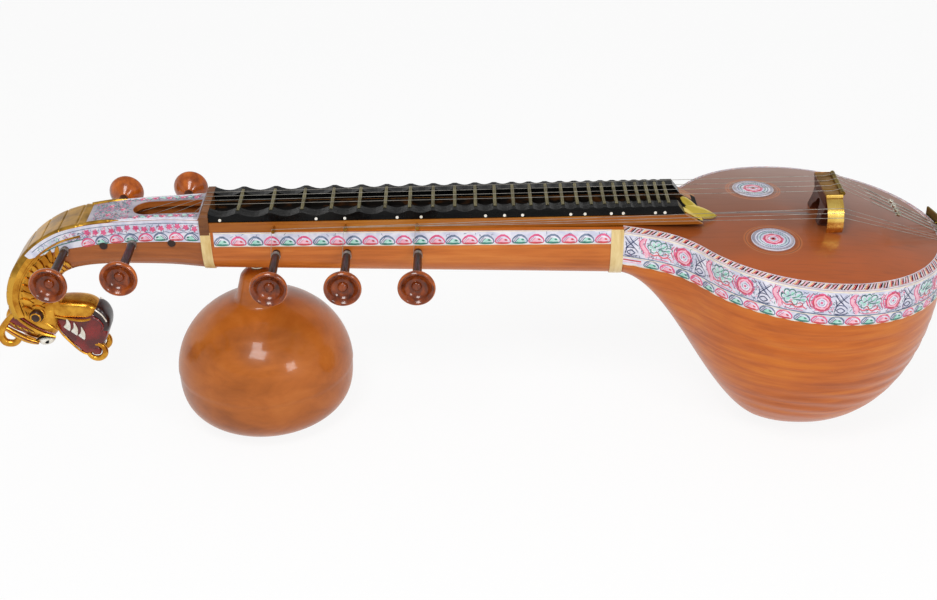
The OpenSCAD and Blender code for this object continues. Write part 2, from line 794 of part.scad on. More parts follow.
// Three claw-shaped teeth on each side, tips up
module yali_teeth() {
  claw = [[0, 0], [3.2, -7], [4.2, -13], [2.4, -21], [-5.4, -15], [-1.8, -10], [-0.9, -5]];
  claw_t = 2.5;
  first_tip = [-211.5, -171];
  tip_step = [9.4, -7.4];
  color("white") place() difference() {
    for (side = [-1, 1], k = [0:2])
      translate([first_tip[0] + k * tip_step[0], side * mouth_w, first_tip[1] + k * tip_step[1]])
        mirror([0, side > 0 ? 1 : 0, 0]) rotate([90, 0, 0]) linear_extrude(height = claw_t) polygon(claw);
    snout_form();
  }
}
// Curled horn behind each cheek with a strand of the mane under it
module yali_ears() {
  horn = [[-283, -163], [-296, -177], [-head_reach + horn_d / 2, -192], [-302, -204], [-290, -203], [-285, -196]];
  strand = [[-294, -184], [-277, -195], [-258, -207]];
  mane = [[-281, -168], [-276, -181]];
  function line(p, y) = [for (s = [0:4 * (len(p) - 1)]) let (q = through(p, s / 4)) [q[0], y, q[1]]];
  color("gold") place() for (side = [-1, 1]) difference() {
    union() {
      stretched(line(horn, side * horn_y), horn_d);
      stretched(line(strand, side * horn_y), horn_d);
      stretched(line(mane, side * horn_y), 1.3 * horn_d);
    }
    skull_form();
    crest_plates();
    spine_solid(9, neck_end_u);
  }
}
module yali_eyes() {
  color("white") place() for (side = [-1, 1]) difference() {
    translate([-245, side * 17, -204]) sphere(r = eye_r, $fn = 24);
    skull_form();
    mouth_form();
  }
}
module yali_knobs() {
  w = spine_w[9] - 1;
  color("#3a1c12") place() difference() {
    for (side = [-1, 1]) translate([-250, side * w, -162]) sphere(r = knob_r, $fn = 24);
    spine_solid(8.5, neck_end_u);
    skull_form();
    translate([-250 - 2 * knob_r, -w + 6, -162 - 2 * knob_r]) cube([4 * knob_r, 2 * w - 12, 4 * knob_r]);
  }
}

// Bridge and tail

bridge_x = scale_len + bridge_w / 2;
bridge_floor = crown_z(bridge_x, 0);
bar_d = 6;
bar_top = bridge_rise + 3.5;
module bridge() {
  leg_spread = 5;
  under = bridge_rise - bridge_t;
  color("#4a1f10") place() difference() {
    intersection() {
      translate([bridge_x - 25, 0, 0]) rotate([90, 0, 90]) linear_extrude(height = 50)
        difference() {
          polygon([
            [-bridge_len / 2, under], [-bridge_len / 2, under - 14],
            [-bridge_len / 2 + 5, bridge_floor + 16], [-bridge_len / 2 + 1, bridge_floor - 8],
            [bridge_len / 2 - 1, bridge_floor - 8], [bridge_len / 2 - 5, bridge_floor + 16],
            [bridge_len / 2, under - 14], [bridge_len / 2, under]
          ]);
          translate([0, bridge_floor]) circle(r = 19, $fn = 48);
          translate([0, bridge_floor + 16]) circle(r = 9, $fn = 32);
        }
      rotate([90, 0, 0]) linear_extrude(height = 100, center = true)
        polygon([
          [bridge_x - bridge_w / 2, under], [bridge_x + bridge_w / 2, under],
          [bridge_x + bridge_w / 2 - 2, under - 18],
          [bridge_x + bridge_w / 2 + leg_spread, bridge_floor - 8],
          [bridge_x - bridge_w / 2 - leg_spread - 4, bridge_floor - 8],
          [bridge_x - bridge_w / 2 + 2, under - 18]
        ]);
    }
    // The plate's face under the feet
    translate([bridge_x, 0, bridge_floor + 0.1]) rotate([0, plate_tilt, 0])
      translate([-60, -60, -40]) cube([120, 120, 40]);
  }
}
module bridge_plate() {
  color("darkgoldenrod") place() {
    translate([bridge_x - bridge_w / 2, -bridge_len / 2, bridge_rise - bridge_t])
      cube([bridge_w, bridge_len, bridge_t]);
    translate([bridge_x + bridge_w / 2, bridge_len / 2 - 3, bar_top - bar_d / 2]) rotate([90, 0, 0])
      cylinder(h = bridge_len - 6, d = bar_d, $fn = 32);
  }
}
strap_y = -bridge_len / 2 + 9;
strap_z = bridge_rise - bridge_t - strap_r;
module side_bridge() {
  foot_y = strap_y - strap_r * 0.88;
  foot_z = crown_z(bridge_x, -foot_y / bowl_r) + 0.6;
  foot_a = asin(min(0.95, (strap_z - foot_z) / strap_r));
  color("gold") place() translate([bridge_x - bridge_w / 2 + 1, strap_y, strap_z])
    rotate([90, 0, 90]) rotate([0, 0, 110])
      linear_wedge(70 + foot_a, strap_r, strap_t, bridge_w - 2);
}
// Bent strip: part of a ring about its own axis, from 0 to the given angle
module linear_wedge(angle, r, t, w) {
  rotate_extrude(angle = angle, $fn = 96) translate([r - t, 0]) square([t, w]);
}
module tailpiece() {
  flange = 16;
  stand = 8;
  low = rim_z(bowl_x + bowl_r) - flange;
  high = plane_z(bowl_x + bowl_r) + stand;
  r = bowl_r + inlay_t;
  color("#9a8a50") place() {
    translate([bowl_x, 0, low]) rotate([0, 0, -tail_angle / 2])
      rotate_extrude(angle = tail_angle, $fn = 240)
        translate([r, 0]) square([tail_t, high - low]);
    for (k = [0:3]) tail_pin(melody_y_tail(k));
    for (i = [0:2]) tail_pin(drone_y_tail(i));
  }
}
module rotate_about(x, a) {
  translate([x, 0, 0]) rotate([0, 0, a]) children();
}
// Wires and strings

function melody_y_nut(k) = (k - 1.5) * string_gap_nut;
function melody_y_bridge(k) = (k - 1.5) * string_gap_bridge;
function melody_y_tail(k) = (k - 1.5) * 11;
function drone_y_tail(i) = -27 - 6 * i;
pin_z = plane_z(bowl_x + bowl_r) + 2;
pin_out = 7;
pin_d = 3;
module tail_pin(y) {
  rotate_about(bowl_x, asin(y / bowl_r)) translate([bowl_r + inlay_t - pin_out, 0, pin_z])
    rotate([0, 90, 0]) cylinder(h = pin_out + 0.5, d = pin_d, $fn = 24);
}
// Point just in front of a pin, where a wire or string ends
function pin_end(y) =
  [bowl_x + (bowl_r + inlay_t - pin_out) * cos(asin(y / bowl_r)) - 0.6, y, pin_z];
function wire_end(k) = pin_end(melody_y_tail(k));
function wire_line(k) =
  let (a = [bridge_x + bridge_w / 2, melody_y_bridge(k), bar_top + string_d / 2 + 0.05], b = wire_end(k))
  [a, b];
function wire_at(k, s) = lerp(wire_line(k)[0], wire_line(k)[1], s);
wire_from = 0.3;
module rod(a, b, d) {
  v = b - a;
  translate(a) rotate([0, acos(v[2] / norm(v)), atan2(v[1], v[0])]) cylinder(h = norm(v), d = d, $fn = 20);
}
function unit(v) = v / norm(v);
// Straight stretches of string joined at mitred bends
module stretched(path, d) {
  n = len(path) - 1;
  skin([
    for (i = [0:n])
      let (
        before = unit(path[max(1, i)] - path[max(1, i) - 1]),
        after = unit(path[min(n - 1, i) + 1] - path[min(n - 1, i)]),
        t = unit(before + after),
        s = unit(cross(t, [0, 1, 0])),
        u = cross(s, t),
        wide = 1 / cos(acos(min(1, before * after)) / 2)
      )
        [for (a = [0:45:315]) path[i] + d / 2 * (cos(a) * u - sin(a) * wide * s)]
  ]);
}
module tail_wires() {
  color("silver") place() for (k = [0:3]) rod(wire_at(k, wire_from), wire_at(k, 1), wire_d);
}
module tuning_bead(k) {
  a = wire_at(k, 0.55);
  v = wire_at(k, 1) - wire_at(k, 0);
  color("darkgoldenrod") place() translate(a)
    rotate([0, acos(v[2] / norm(v)), atan2(v[1], v[0])]) difference() {
      cylinder(h = bead_len, d = bead_d, $fn = 32);
      translate([0, 0, -1]) cylinder(h = bead_len + 2, d = wire_d + 2 * peg_fit, $fn = 32);
    }
}
function melody_peg(k) = [1 - (k + 1) * peg_gap - k % 2 * near_peg_shift, 0, melody_peg_z[k]];
melody_peg_z = [-46, -46, -50, -56];
function melody_y_peg(k) = (k - 1.5) * 7;
module melody_string(k) {
  d = string_d;
  start = melody_peg(k) + [0, melody_y_peg(k), peg_d / 2 + seat + d / 2];
  over_nut = [-0.5, melody_y_nut(k), nut_rise + d / 2 + 0.05];
  over_bridge = [bridge_x, melody_y_bridge(k), bridge_rise + d / 2 + 0.05];
  over_bar = wire_at(k, 0);
  color("silver") place()
    stretched([start, over_nut, over_bridge, over_bar, wire_at(k, wire_from - 0.004)], d);
}
drone_x = [for (i = [1:3]) i * drone_gap];
drone_z = -60;
post_z = -wax_drop - 6;
post_d = 3;
post_out = [15, 13, 12];
module drone_posts() {
  color("gold") place() for (i = [0:2])
    translate([drone_x[i], -ledge_out, post_z]) rotate([90, 0, 0]) {
      cylinder(h = post_out[i] + 2, d = post_d, $fn = 24);
      translate([0, 0, post_out[i] + 1]) cylinder(h = 1.5, d = 5, $fn = 24);
    }
}
// Point over the side bridge at the angle a, dx along it from its middle
function strap_point(a, dx, lift) =
  [bridge_x + dx, strap_y + (strap_r + lift) * cos(a), strap_z + (strap_r + lift) * sin(a)];
module drone_string(i) {
  d = string_d;
  y = -ledge_out - post_out[i] + 1;
  beside = post_d / 2 + d;
  start = [drone_x[i] - peg_d / 2 - seat - d / 2, y, drone_z];
  over_post = [drone_x[i] - beside, y, post_z + beside];
  a = 140 + 12 * i;
  half = bridge_w / 2 - 0.5;
  lift = d / 2 + 0.05;
  color("silver") place() stretched([
    start, over_post - [0, 0, beside], over_post,
    strap_point(a, -half, lift), strap_point(a, half, lift), pin_end(drone_y_tail(i))
  ], d);
}

// Pegs

// Turned peg along +Z: z = 0 is the middle line, wall is how far out the wood's face is
module peg(inner, wall) {
  r = peg_head_d / 2;
  neck_r = shank_d / 2;
  head = [
    [neck_r, -17], [neck_r + 2, -15], [neck_r + 3, -12.5],
    [r * 0.58, -10.5], [r * 0.84, -6], [r * 0.97, -1], [r, 2], [r * 0.97, 4.5], [r * 0.9, 5.6],
    [r * 0.8, 4.2], [r * 0.64, 0], [r * 0.46, -2], [r * 0.3, -2.2], [r * 0.27, 0],
    [r * 0.17, 2], [0, 2.8]
  ];
  rotate_extrude($fn = 64) polygon(concat(
    [[0, -inner], [peg_d / 2, -inner], [peg_d / 2, wall + 3]],
    [for (p = head) p + [0, wall + peg_free]]
  ));
}
module peg_hole(span) {
  translate([0, 0, -span]) cylinder(h = 2 * span, d = peg_d + 2 * peg_fit, $fn = 48);
}
// Melody pegs 1 and 3 turn from the far side, 2 and 4 from the player's side
module peg_place(i) {
  p = melody_peg(i - 1);
  place() translate(p) rotate([i % 2 == 1 ? -90 : 90, 0, 0]) children();
}
module drone_place(i) {
  place() translate([drone_x[i - 1], 0, drone_z]) rotate([90, 0, 0]) children();
}
module melody_tuning_peg(i) {
  w = spine_w[i];
  color("#7a3a14") peg_place(i) peg(w + 1, w);
}
module drone_tuning_peg(i) {
  w = neck_w(drone_x[i - 1]);
  color("#9a4a18") drone_place(i) peg(w, w);
}

// Gourd

gourd_top = top_z - neck_d(gourd_x) - cup_h;
gourd_belly = floor_z + gourd_belly_h;
gourd_low = gourd_belly_h + foot_flat;
stem_flare = 0.27;
stem_round = 14;
gourd_plug = 34;
screw_head_d = 18;
screw_head_h = 5;
// Height of the screw's seat above the neck's underside
screw_seat = neck_wall - 1.5;
washer_d = 24;
washer_t = 4;
module screw_place() {
  place() translate([gourd_x, 0, top_z - neck_d(gourd_x)]) children();
}
function gourd_radius(z) =
  let (
    above = clamp01((z - gourd_belly) / gourd_shoulder_h),
    below = clamp01((gourd_belly - z) / gourd_low),
    body = gourd_r * (z > gourd_belly ? full_width(above, 2) : full_width(below, 3)),
    stem = gourd_stem_r + stem_flare * (gourd_top - z),
    dome = clamp01((z - gourd_top + stem_round) / (stem_round + 1))
  )
  z > gourd_belly ? pow(pow(body, 5) + pow(stem * full_width(dome, 2), 5), 1 / 5) : body;
module gourd() {
  steps = 24;
  top = gourd_top - seat;
  function below(s) = gourd_belly - gourd_belly_h * cos(90 * s);
  function above(s) = gourd_belly + (top - gourd_belly) * sin(90 * s);
  heights = [
    for (s = [0:10]) below(s / 10),
    for (s = [1:steps]) above(s / steps)
  ];
  cavity = [for (z = heights) if (z > floor_z + gourd_wall && z < top - gourd_plug) z];
  function inner(z) = [gourd_radius(z) - gourd_wall, z];
  color("sienna") place() translate([gourd_x, 0, 0]) difference() {
    rotate_extrude($fn = 96) difference() {
      polygon(concat([[0, floor_z]], [for (z = heights) [gourd_radius(z), z]], [[0, top]]));
      polygon(concat(
        [[0, floor_z + gourd_wall], inner(floor_z + gourd_wall)],
        [for (z = cavity) inner(z)],
        [inner(top - gourd_plug), [0, top - gourd_plug]]
      ));
    }
    translate([0, 0, top - gourd_plug - 1]) cylinder(h = gourd_plug + 2, d = screw_d + 2 * peg_fit, $fn = 48);
  }
}
// Metal collar, cut to the rounded underside of the neck
module gourd_cup() {
  r = screw_d / 2 + 4;
  color("lightgray") difference() {
    screw_place() rotate_extrude($fn = 64)
      polygon([
        [screw_d / 2, -cup_h], [r - 1, -cup_h], [r + 1, -cup_h + 1.5], [r + 1, -cup_h + 3],
        [r - 0.5, -cup_h + 4], [r - 0.5, 1], [screw_d / 2, 1]
      ]);
    place() neck_block(gourd_x - 20, gourd_x + 20);
  }
}
// Solid form of the neck between two stations
module neck_block(x0, x1) {
  skin([for (x = [x1, x0]) neck_row(x, 0, 2 * depth_steps, 0, 0)]);
}
module gourd_screw() {
  color("darkgray") screw_place() {
    translate([0, 0, screw_seat]) cylinder(h = screw_head_h, d = screw_head_d, $fn = 48);
    translate([0, 0, -cup_h - gourd_plug - washer_t - 6])
      cylinder(h = cup_h + gourd_plug + washer_t + 6 + screw_seat + 1, d = screw_d, $fn = 48);
    translate([0, 0, -cup_h - gourd_plug - washer_t - 2 * seat]) cylinder(h = washer_t, d = washer_d, $fn = 48);
  }
}

bowl();
top_plate();
rim_inlay();
bowl_inlay();
rosette(-1);  // rosette_front
rosette(1);  // rosette_back
neck();
neck_cover();
ledge(-1);  // ledge_front
ledge(1);  // ledge_back
neck_inlays();
ring_head();
ring_bowl();
ledge_leaves();
wax(-1);  // wax_front
wax(1);  // wax_back
frets();
fret_dots();
nut();
drone_posts();
pegbox();
pegbox_plate();
pegbox_inlays();
gooseneck();
neck_crest();
yali_skull();
yali_snout();
yali_mouth();
yali_teeth();
yali_curl();
yali_ears();
yali_eyes();
yali_muzzle();
yali_knobs();
bridge();
bridge_plate();
side_bridge();
tailpiece();
tail_wires();
tuning_bead(0);  // tuning_bead_1
tuning_bead(1);  // tuning_bead_2
tuning_bead(2);  // tuning_bead_3
tuning_bead(3);  // tuning_bead_4
melody_string(0);  // string_1
melody_string(1);  // string_2
melody_string(2);  // string_3
melody_string(3);  // string_4
drone_string(0);  // drone_string_1
drone_string(1);  // drone_string_2
drone_string(2);  // drone_string_3
melody_tuning_peg(1);  // peg_1
melody_tuning_peg(2);  // peg_2
melody_tuning_peg(3);  // peg_3
melody_tuning_peg(4);  // peg_4
drone_tuning_peg(1);  // drone_peg_1
drone_tuning_peg(2);  // drone_peg_2
drone_tuning_peg(3);  // drone_peg_3
gourd();
gourd_cup();
gourd_screw();
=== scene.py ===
"""Saraswati veena, dressed for the eye: smooth lacquered woods, painted inlay, gilding, wax and brass.

Lengths in the shape functions are millimetres in the nut frame: X from the nut towards the bowl,
Z up from the fret tops, player's side at -Y. put() turns them into the shared frame's metres.
"""

from math import asin, atan2, cos, degrees, pi, radians, sin, sqrt, tan

import bmesh
import bpy
import numpy as np
from mathutils import Matrix, Vector


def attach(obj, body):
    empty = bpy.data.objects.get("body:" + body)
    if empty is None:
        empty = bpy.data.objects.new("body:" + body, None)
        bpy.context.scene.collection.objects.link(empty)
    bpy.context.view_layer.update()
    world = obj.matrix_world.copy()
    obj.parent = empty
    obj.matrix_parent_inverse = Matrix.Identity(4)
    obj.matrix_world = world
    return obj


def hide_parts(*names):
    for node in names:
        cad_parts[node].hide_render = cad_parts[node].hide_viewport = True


bl_info = {
    "name": "Saraswati veena",
    "version": (1, 0, 0),
    "blender": (4, 5, 0),
    "location": "View3D > Sidebar > Veena",
    "description": "Builds the visible surfaces and finishes of a saraswati veena round its CAD frame",
    "category": "Add Mesh",
}

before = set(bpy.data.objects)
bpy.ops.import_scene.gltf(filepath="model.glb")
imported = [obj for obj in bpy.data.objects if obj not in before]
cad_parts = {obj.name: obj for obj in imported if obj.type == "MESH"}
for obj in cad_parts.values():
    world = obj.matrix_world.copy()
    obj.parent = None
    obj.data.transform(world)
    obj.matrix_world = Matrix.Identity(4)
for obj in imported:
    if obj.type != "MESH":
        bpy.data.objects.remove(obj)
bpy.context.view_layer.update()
ROOT = "veena"

# Sizes shared with the CAD part, millimetres
NUT_X, NUT_Z = -354.35, 340.0
FLOOR_Z = -340.0
SCALE_LEN = 840.0
TOP_Z = -28.0
NECK_LEN, NECK_BEHIND, NUT_FRONT = 568.0, 5.0, 8.0
NECK_W, NECK_D, NECK_FULL = (45.0, 57.0), (66.0, 82.0), 3.2
NECK_BAND, RING_W, RING_T = 22.0, 17.0, 1.5
BOWL_X, BOWL_R, BOWL_WALL, BOWL_FULL = 827.0, 190.0, 16.0, 2.44
SHOULDER_ROWS, TAIL_ROWS = 12, 30
ROWS = 2 * SHOULDER_ROWS + TAIL_ROWS
PLATE_TILT, PLATE_T, CROWN_H, RIM_W = radians(4.75), 5.0, 12.0, 12.0
BAND_H, INLAY_T, GROUND = 51.0, 1.2, 0.6
ROSE_X, ROSE_Y, ROSE_R = 765.0, 79.0, 29.0
PEG_D, SHANK_D, PEG_HEAD_D, PEG_FREE = 11.0, 13.0, 50.0, 99.0
MELODY_PEG_Z = (-46.0, -46.0, -50.0, -56.0)
PEG_GAP, NEAR_SHIFT, DRONE_GAP, DRONE_Z = 47.0, 6.5, 96.5, -60.0
GOURD_X, GOURD_R, BELLY_H, SHOULDER_H, STEM_R = 62.0, 125.0, 79.0, 110.0, 22.0
CUP_H, FOOT_FLAT, SEAT = 9.0, 2.5, 0.3

# Pegbox and gooseneck: top line, under line, half width and band height at the same stations
SPINE_TOP = np.array([
    (-5, -10), (-50, -10.5), (-100, -12.5), (-140, -16), (-173, -21.5), (-206, -32),
    (-238, -52), (-263, -79), (-279, -108), (-286, -138), (-282, -168)], float)
SPINE_UNDER = np.array([
    (-5, -94), (-50, -90), (-98, -88), (-134, -88), (-163, -89.5), (-187, -94),
    (-203, -101), (-213, -111), (-218, -124), (-219, -138), (-213, -153)], float)
SPINE_W = np.array([43.5, 38.5, 37, 35, 34, 32.5, 31.5, 30, 29, 28, 27])
SPINE_BAND = np.array([29, 29, 28, 27, 26, 22, 13, 5, 5, 5, 5.0])
SPINE_FULL, BAND_TOP = 3.6, 4.0


# Curves and profiles, all on whole arrays

def lerp(a, b, t):
    """Straight mix of a and b by the share t."""
    return a + (b - a) * t


def ease(t):
    """Smooth step: 3t^2 - 2t^3 between 0 and 1."""
    c = np.clip(t, 0, 1)
    return c * c * (3 - 2 * c)


def hermite(a, slope_a, b, slope_b, span, t):
    """Cubic between two heights with given end slopes over a span."""
    return ((2 * t**3 - 3 * t**2 + 1) * a + (t**3 - 2 * t**2 + t) * span * slope_a
            + (3 * t**2 - 2 * t**3) * b + (t**3 - t**2) * span * slope_b)


def full_width(f, p):
    """Superellipse: the half width left at the depth share f, for the fullness p."""
    return np.maximum(0, 1 - np.minimum(1, f) ** p) ** (1 / p)


def through(points, u):
    """Catmull-Rom curve through a list of points; u counts the points."""
    p = np.asarray(points, float)
    u = np.asarray(u, float)
    n = len(p) - 1
    i = np.clip(np.floor(u).astype(int), 0, n - 1)
    t = u - i
    if p.ndim > 1:
        t = t[..., None]
    a, b, c, d = p[np.maximum(i - 1, 0)], p[i], p[i + 1], p[np.minimum(i + 2, n)]
    return 0.5 * (2 * b + (c - a) * t + (2 * a - 5 * b + 4 * c - d) * t**2
                  + (3 * b - a - 3 * c + d) * t**3)


def unit(v):
    """Vectors divided by their own lengths."""
    return v / np.maximum(1e-9, np.linalg.norm(v, axis=-1, keepdims=True))


# Bowl and plate

SHOULDER_X = BOWL_X - 153
SHOULDER_W = sqrt(BOWL_R**2 - 153**2)
BOWL_DROP = -FLOOR_Z + TOP_Z + FOOT_FLAT
KEEL_X = BOWL_X - 62
KEEL_D = BOWL_DROP * float(full_width(62 / BOWL_R, BOWL_FULL))
KEEL_SLOPE = (BOWL_DROP * (62 / BOWL_R) ** (BOWL_FULL - 1) / BOWL_R
              * (1 - (62 / BOWL_R) ** BOWL_FULL) ** (1 / BOWL_FULL - 1))


def plane_z(x):
    """Height of the plate's plane: it falls from the neck's top face by the plate's tilt."""
    return TOP_Z - tan(PLATE_TILT) * (x - NECK_LEN)


def rim_z(x):
    """Height of the bowl's upper edge, the plate's thickness below its plane."""
    return plane_z(x) - PLATE_T


def bowl_w(x):
    """Half width of the pear-shaped plan: a cubic shoulder, then a circle."""
    span = SHOULDER_X - NECK_LEN
    shoulder = hermite(NECK_W[1], 0.24, SHOULDER_W, 153 / SHOULDER_W, span, (x - NECK_LEN) / span)
    return np.where(x < SHOULDER_X, shoulder, np.sqrt(np.maximum(0, BOWL_R**2 - (x - BOWL_X) ** 2)))


def keel_z(x):
    """Height of the keel: a cubic from the neck's underside, then a superellipse to the tail."""
    span = KEEL_X - NECK_LEN
    near = hermite(NECK_D[1], 0.15, KEEL_D, KEEL_SLOPE, span, (x - NECK_LEN) / span)
    return TOP_Z - np.where(x < KEEL_X, near, BOWL_DROP * full_width(abs(x - BOWL_X) / BOWL_R, BOWL_FULL))


def rows(s):
    """Cuts from rim to keel, s from 0 to ROWS: axis x, direction and radius. Straight cuts along
    the shoulders, and cuts turning about the round part's centre between them."""
    t = s - SHOULDER_ROWS
    near, far = t <= 0, t >= TAIL_ROWS
    x = np.where(near, lerp(NECK_LEN, BOWL_X, s / SHOULDER_ROWS),
                 np.where(far, lerp(BOWL_X, NECK_LEN, (t - TAIL_ROWS) / SHOULDER_ROWS), BOWL_X))
    a = np.radians(-90 + 180 * np.clip(t, 0, TAIL_ROWS) / TAIL_ROWS)
    straight = near | far
    dx = np.where(straight, 0, np.cos(a))
    dy = np.where(near, -1, np.where(far, 1, np.sin(a)))
    return x, dx, dy, np.where(straight, bowl_w(x), BOWL_R)


def wall(s, down, out=0.0, share=False):
    """Bowl wall at the row s and the distance down from the rim, or the share of the way down:
    the radius shrinks as a superellipse of the depth, fuller near the neck."""
    x, dx, dy, r = rows(s)
    rim = rim_z(x + dx * r)
    depth = rim - keel_z(x)
    f = down if share else down / depth
    full = lerp(NECK_FULL, BOWL_FULL, ease((x - NECK_LEN) / 259 * 1.3))
    reach = r * full_width(f, full) + out
    return np.stack([x + dx * reach, dy * reach, np.maximum(FLOOR_Z, rim - f * depth)], -1)


def crown_z(x, g):
    """Face of the crowned plate at the share g of the way out from the middle line."""
    return plane_z(x) + CROWN_H * ease((x - NECK_LEN - 55) / 179) * (1 - g * g)


RIM_ROWS = np.linspace(0, ROWS, 2161)
_rim_path = wall(RIM_ROWS, 20.0, INLAY_T)
RIM_LENGTHS = np.concatenate([[0], np.cumsum(np.linalg.norm(np.diff(_rim_path, axis=0), axis=1))])
BAND_LEN = float(RIM_LENGTHS[-1])


def on_band(u, v, h):
    """Bowl band: u millimetres along it from the neck's near side, v down from the rim, h proud."""
    return wall(np.interp(u, RIM_LENGTHS, RIM_ROWS), np.maximum(v, 0), GROUND + h)


def on_rim(u, v, h):
    """Sloping rim inlay: v is measured inwards from its outer edge, which stands 1 mm high."""
    x, dx, dy, r = rows(np.interp(u, RIM_LENGTHS, RIM_ROWS))
    t = v / RIM_W
    reach = r - v
    outer = rim_z(x + dx * r) + 1.0
    inner = rim_z(x + dx * (r - RIM_W)) + PLATE_T
    return np.stack([x + dx * reach, dy * reach, lerp(outer, inner, t) + h], -1)


# Neck

def neck_w(x):
    """Half width of the neck, even taper."""
    return lerp(NECK_W[0], NECK_W[1], (x + NECK_BEHIND) / (NECK_LEN + NECK_BEHIND))


def neck_d(x):
    """Depth of the neck, even taper."""
    return lerp(NECK_D[0], NECK_D[1], (x + NECK_BEHIND) / (NECK_LEN + NECK_BEHIND))


def neck_point(x, f, side, out):
    """Neck's U section: half width as a superellipse of the depth share f."""
    half = neck_w(x) * full_width(f, NECK_FULL) + out * full_width(f, 1.0) ** 0.3
    return np.stack([x + 0 * f, side * half, TOP_Z - (neck_d(x) + out) * f], -1)


def on_neck(side):
    """Neck band on one side: u along from the nut, v down from the top edge, h proud."""
    def at(u, v, h):
        f = np.maximum(v, 0) / neck_d(u)
        half = neck_w(u) * full_width(f, NECK_FULL) + GROUND + h
        return np.stack([u + 0 * f, side * half, TOP_Z - v], -1)
    return at


# Pegbox and gooseneck

def spine_point(u, f, side, out):
    """Section of the pegbox and gooseneck: between top and under line by the share f, as wide as
    a superellipse of it."""
    a, b = through(SPINE_TOP, u), through(SPINE_UNDER, u)
    half = through(SPINE_W, u) * full_width(f, SPINE_FULL) + out
    return np.stack([lerp(a[..., 0], b[..., 0], f), side * half, lerp(a[..., 1], b[..., 1], f)], -1)


SPINE_U = np.linspace(0, 10, 401)
_spine_mid = through(SPINE_TOP, SPINE_U)
SPINE_LENGTHS = np.concatenate([[0], np.cumsum(np.linalg.norm(np.diff(_spine_mid, axis=0), axis=1))])


def on_pegbox(side):
    """Pegbox band on one side: u along the top line from the neck, v down the side, h proud."""
    def at(u, v, h):
        s = np.interp(u, SPINE_LENGTHS, SPINE_U)
        depth = np.linalg.norm(through(SPINE_UNDER, s) - through(SPINE_TOP, s), axis=-1)
        return spine_point(s, (BAND_TOP + v) / depth, side, GROUND + h)
    return at


def band_depth(u):
    """Height of the pegbox band at the distance u along it."""
    return through(SPINE_BAND, np.interp(u, SPINE_LENGTHS, SPINE_U))


# Gourd

GOURD_TOP = TOP_Z - float(neck_d(GOURD_X)) - CUP_H
BELLY_Z = FLOOR_Z + BELLY_H


def gourd_radius(z):
    """Half ellipse above the belly joined to a flaring stem, superellipse below it."""
    above = np.clip((z - BELLY_Z) / SHOULDER_H, 0, 1)
    below = np.clip((BELLY_Z - z) / (BELLY_H + FOOT_FLAT), 0, 1)
    body = GOURD_R * np.where(z > BELLY_Z, full_width(above, 2), full_width(below, 3))
    dome = np.clip((z - GOURD_TOP + 14) / 15, 0, 1)
    stem = (STEM_R + 0.27 * (GOURD_TOP - z)) * full_width(dome, 2)
    return np.where(z > BELLY_Z, (body**5 + stem**5) ** 0.2, body)


# Meshes

def quads(n, m, wrap=False, start=0):
    """Faces of an n by m grid of points; wrap joins its last column to its first."""
    i, j = np.meshgrid(np.arange(n - 1), np.arange(m if wrap else m - 1), indexing="ij")
    a, b = i * m + j, i * m + (j + 1) % m
    return np.stack([a, b, b + m, a + m], -1).reshape(-1, 4) + start


class Heap:
    """Points and faces gathered for one object, with a material number for each face."""

    def __init__(self):
        self.points, self.faces, self.mats, self.uvs, self.count = [], [], [], [], 0

    def add(self, points, faces, mat=0, uv=None):
        """Adds an array of points and arrays of faces that count from its own first point."""
        pts = np.asarray(points, float).reshape(-1, 3)
        for f in faces if isinstance(faces, (list, tuple)) else [faces]:
            self.faces.append(np.asarray(f) + self.count)
            self.mats.append(np.full(len(f), mat))
        self.points.append(pts)
        self.uvs.append(np.zeros((len(pts), 2)) if uv is None else np.asarray(uv, float).reshape(-1, 2))
        self.count += len(pts)

    def grid(self, g, wrap=False, mat=0, uv=None):
        """Adds a grid of points as quads."""
        g = np.asarray(g)
        self.add(g, quads(g.shape[0], g.shape[1], wrap), mat, uv)

    def shell(self, outer, inner, mat=0):
        """Adds a closed sheet between two grids: both faces and the strip round their edges."""
        n, m = outer.shape[:2]
        both = np.concatenate([outer.reshape(-1, 3), inner.reshape(-1, 3)])
        k = n * m
        ring = np.concatenate([np.arange(m), np.arange(1, n) * m + m - 1,
                               (n - 1) * m + np.arange(m - 2, -1, -1), np.arange(n - 2, 0, -1) * m])
        nxt = np.roll(ring, -1)
        edge = np.stack([ring, nxt, nxt + k, ring + k], -1)
        self.add(both, [quads(n, m), quads(n, m)[:, ::-1] + k, edge], mat)

    def turned(self, profile, steps, mat=0):
        """Adds a profile of (radius, height) turned about Z, poles closed by welding."""
        p = np.asarray(profile, float)
        a = np.linspace(0, 2 * pi, steps, endpoint=False)
        g = np.stack([p[:, None, 0] * np.cos(a), p[:, None, 0] * np.sin(a), p[:, None, 1] + 0 * a], -1)
        self.add(g, quads(len(p), steps, True), mat)
        return self

    def tube(self, path, radius, steps=8, mat=0):
        """Adds a round tube along a path: rings square to it, ends drawn to a point."""
        p = np.asarray(path, float)
        t = unit(np.gradient(p, axis=0))
        side = unit(np.cross(t, np.array([0.013, 0.17, 1.0])))
        up = np.cross(side, t)
        a = np.linspace(0, 2 * pi, steps, endpoint=False)
        r = np.broadcast_to(np.asarray(radius, float), (len(p),)).copy()[:, None, None]
        g = p[:, None] + r * (np.cos(a)[:, None] * side[:, None] + np.sin(a)[:, None] * up[:, None])
        g = np.concatenate([p[:1, None] + 0 * g[:1], g, p[-1:, None] + 0 * g[-1:]])
        self.add(g, quads(len(g), steps, True), mat)


def closed_curve(points, count):
    """Smooth closed curve through a few outline points."""
    p = np.asarray(points, float)
    p = np.concatenate([p[-1:], p, p[:2]])
    return through(p, 1 + np.linspace(0, len(points), count, endpoint=False))


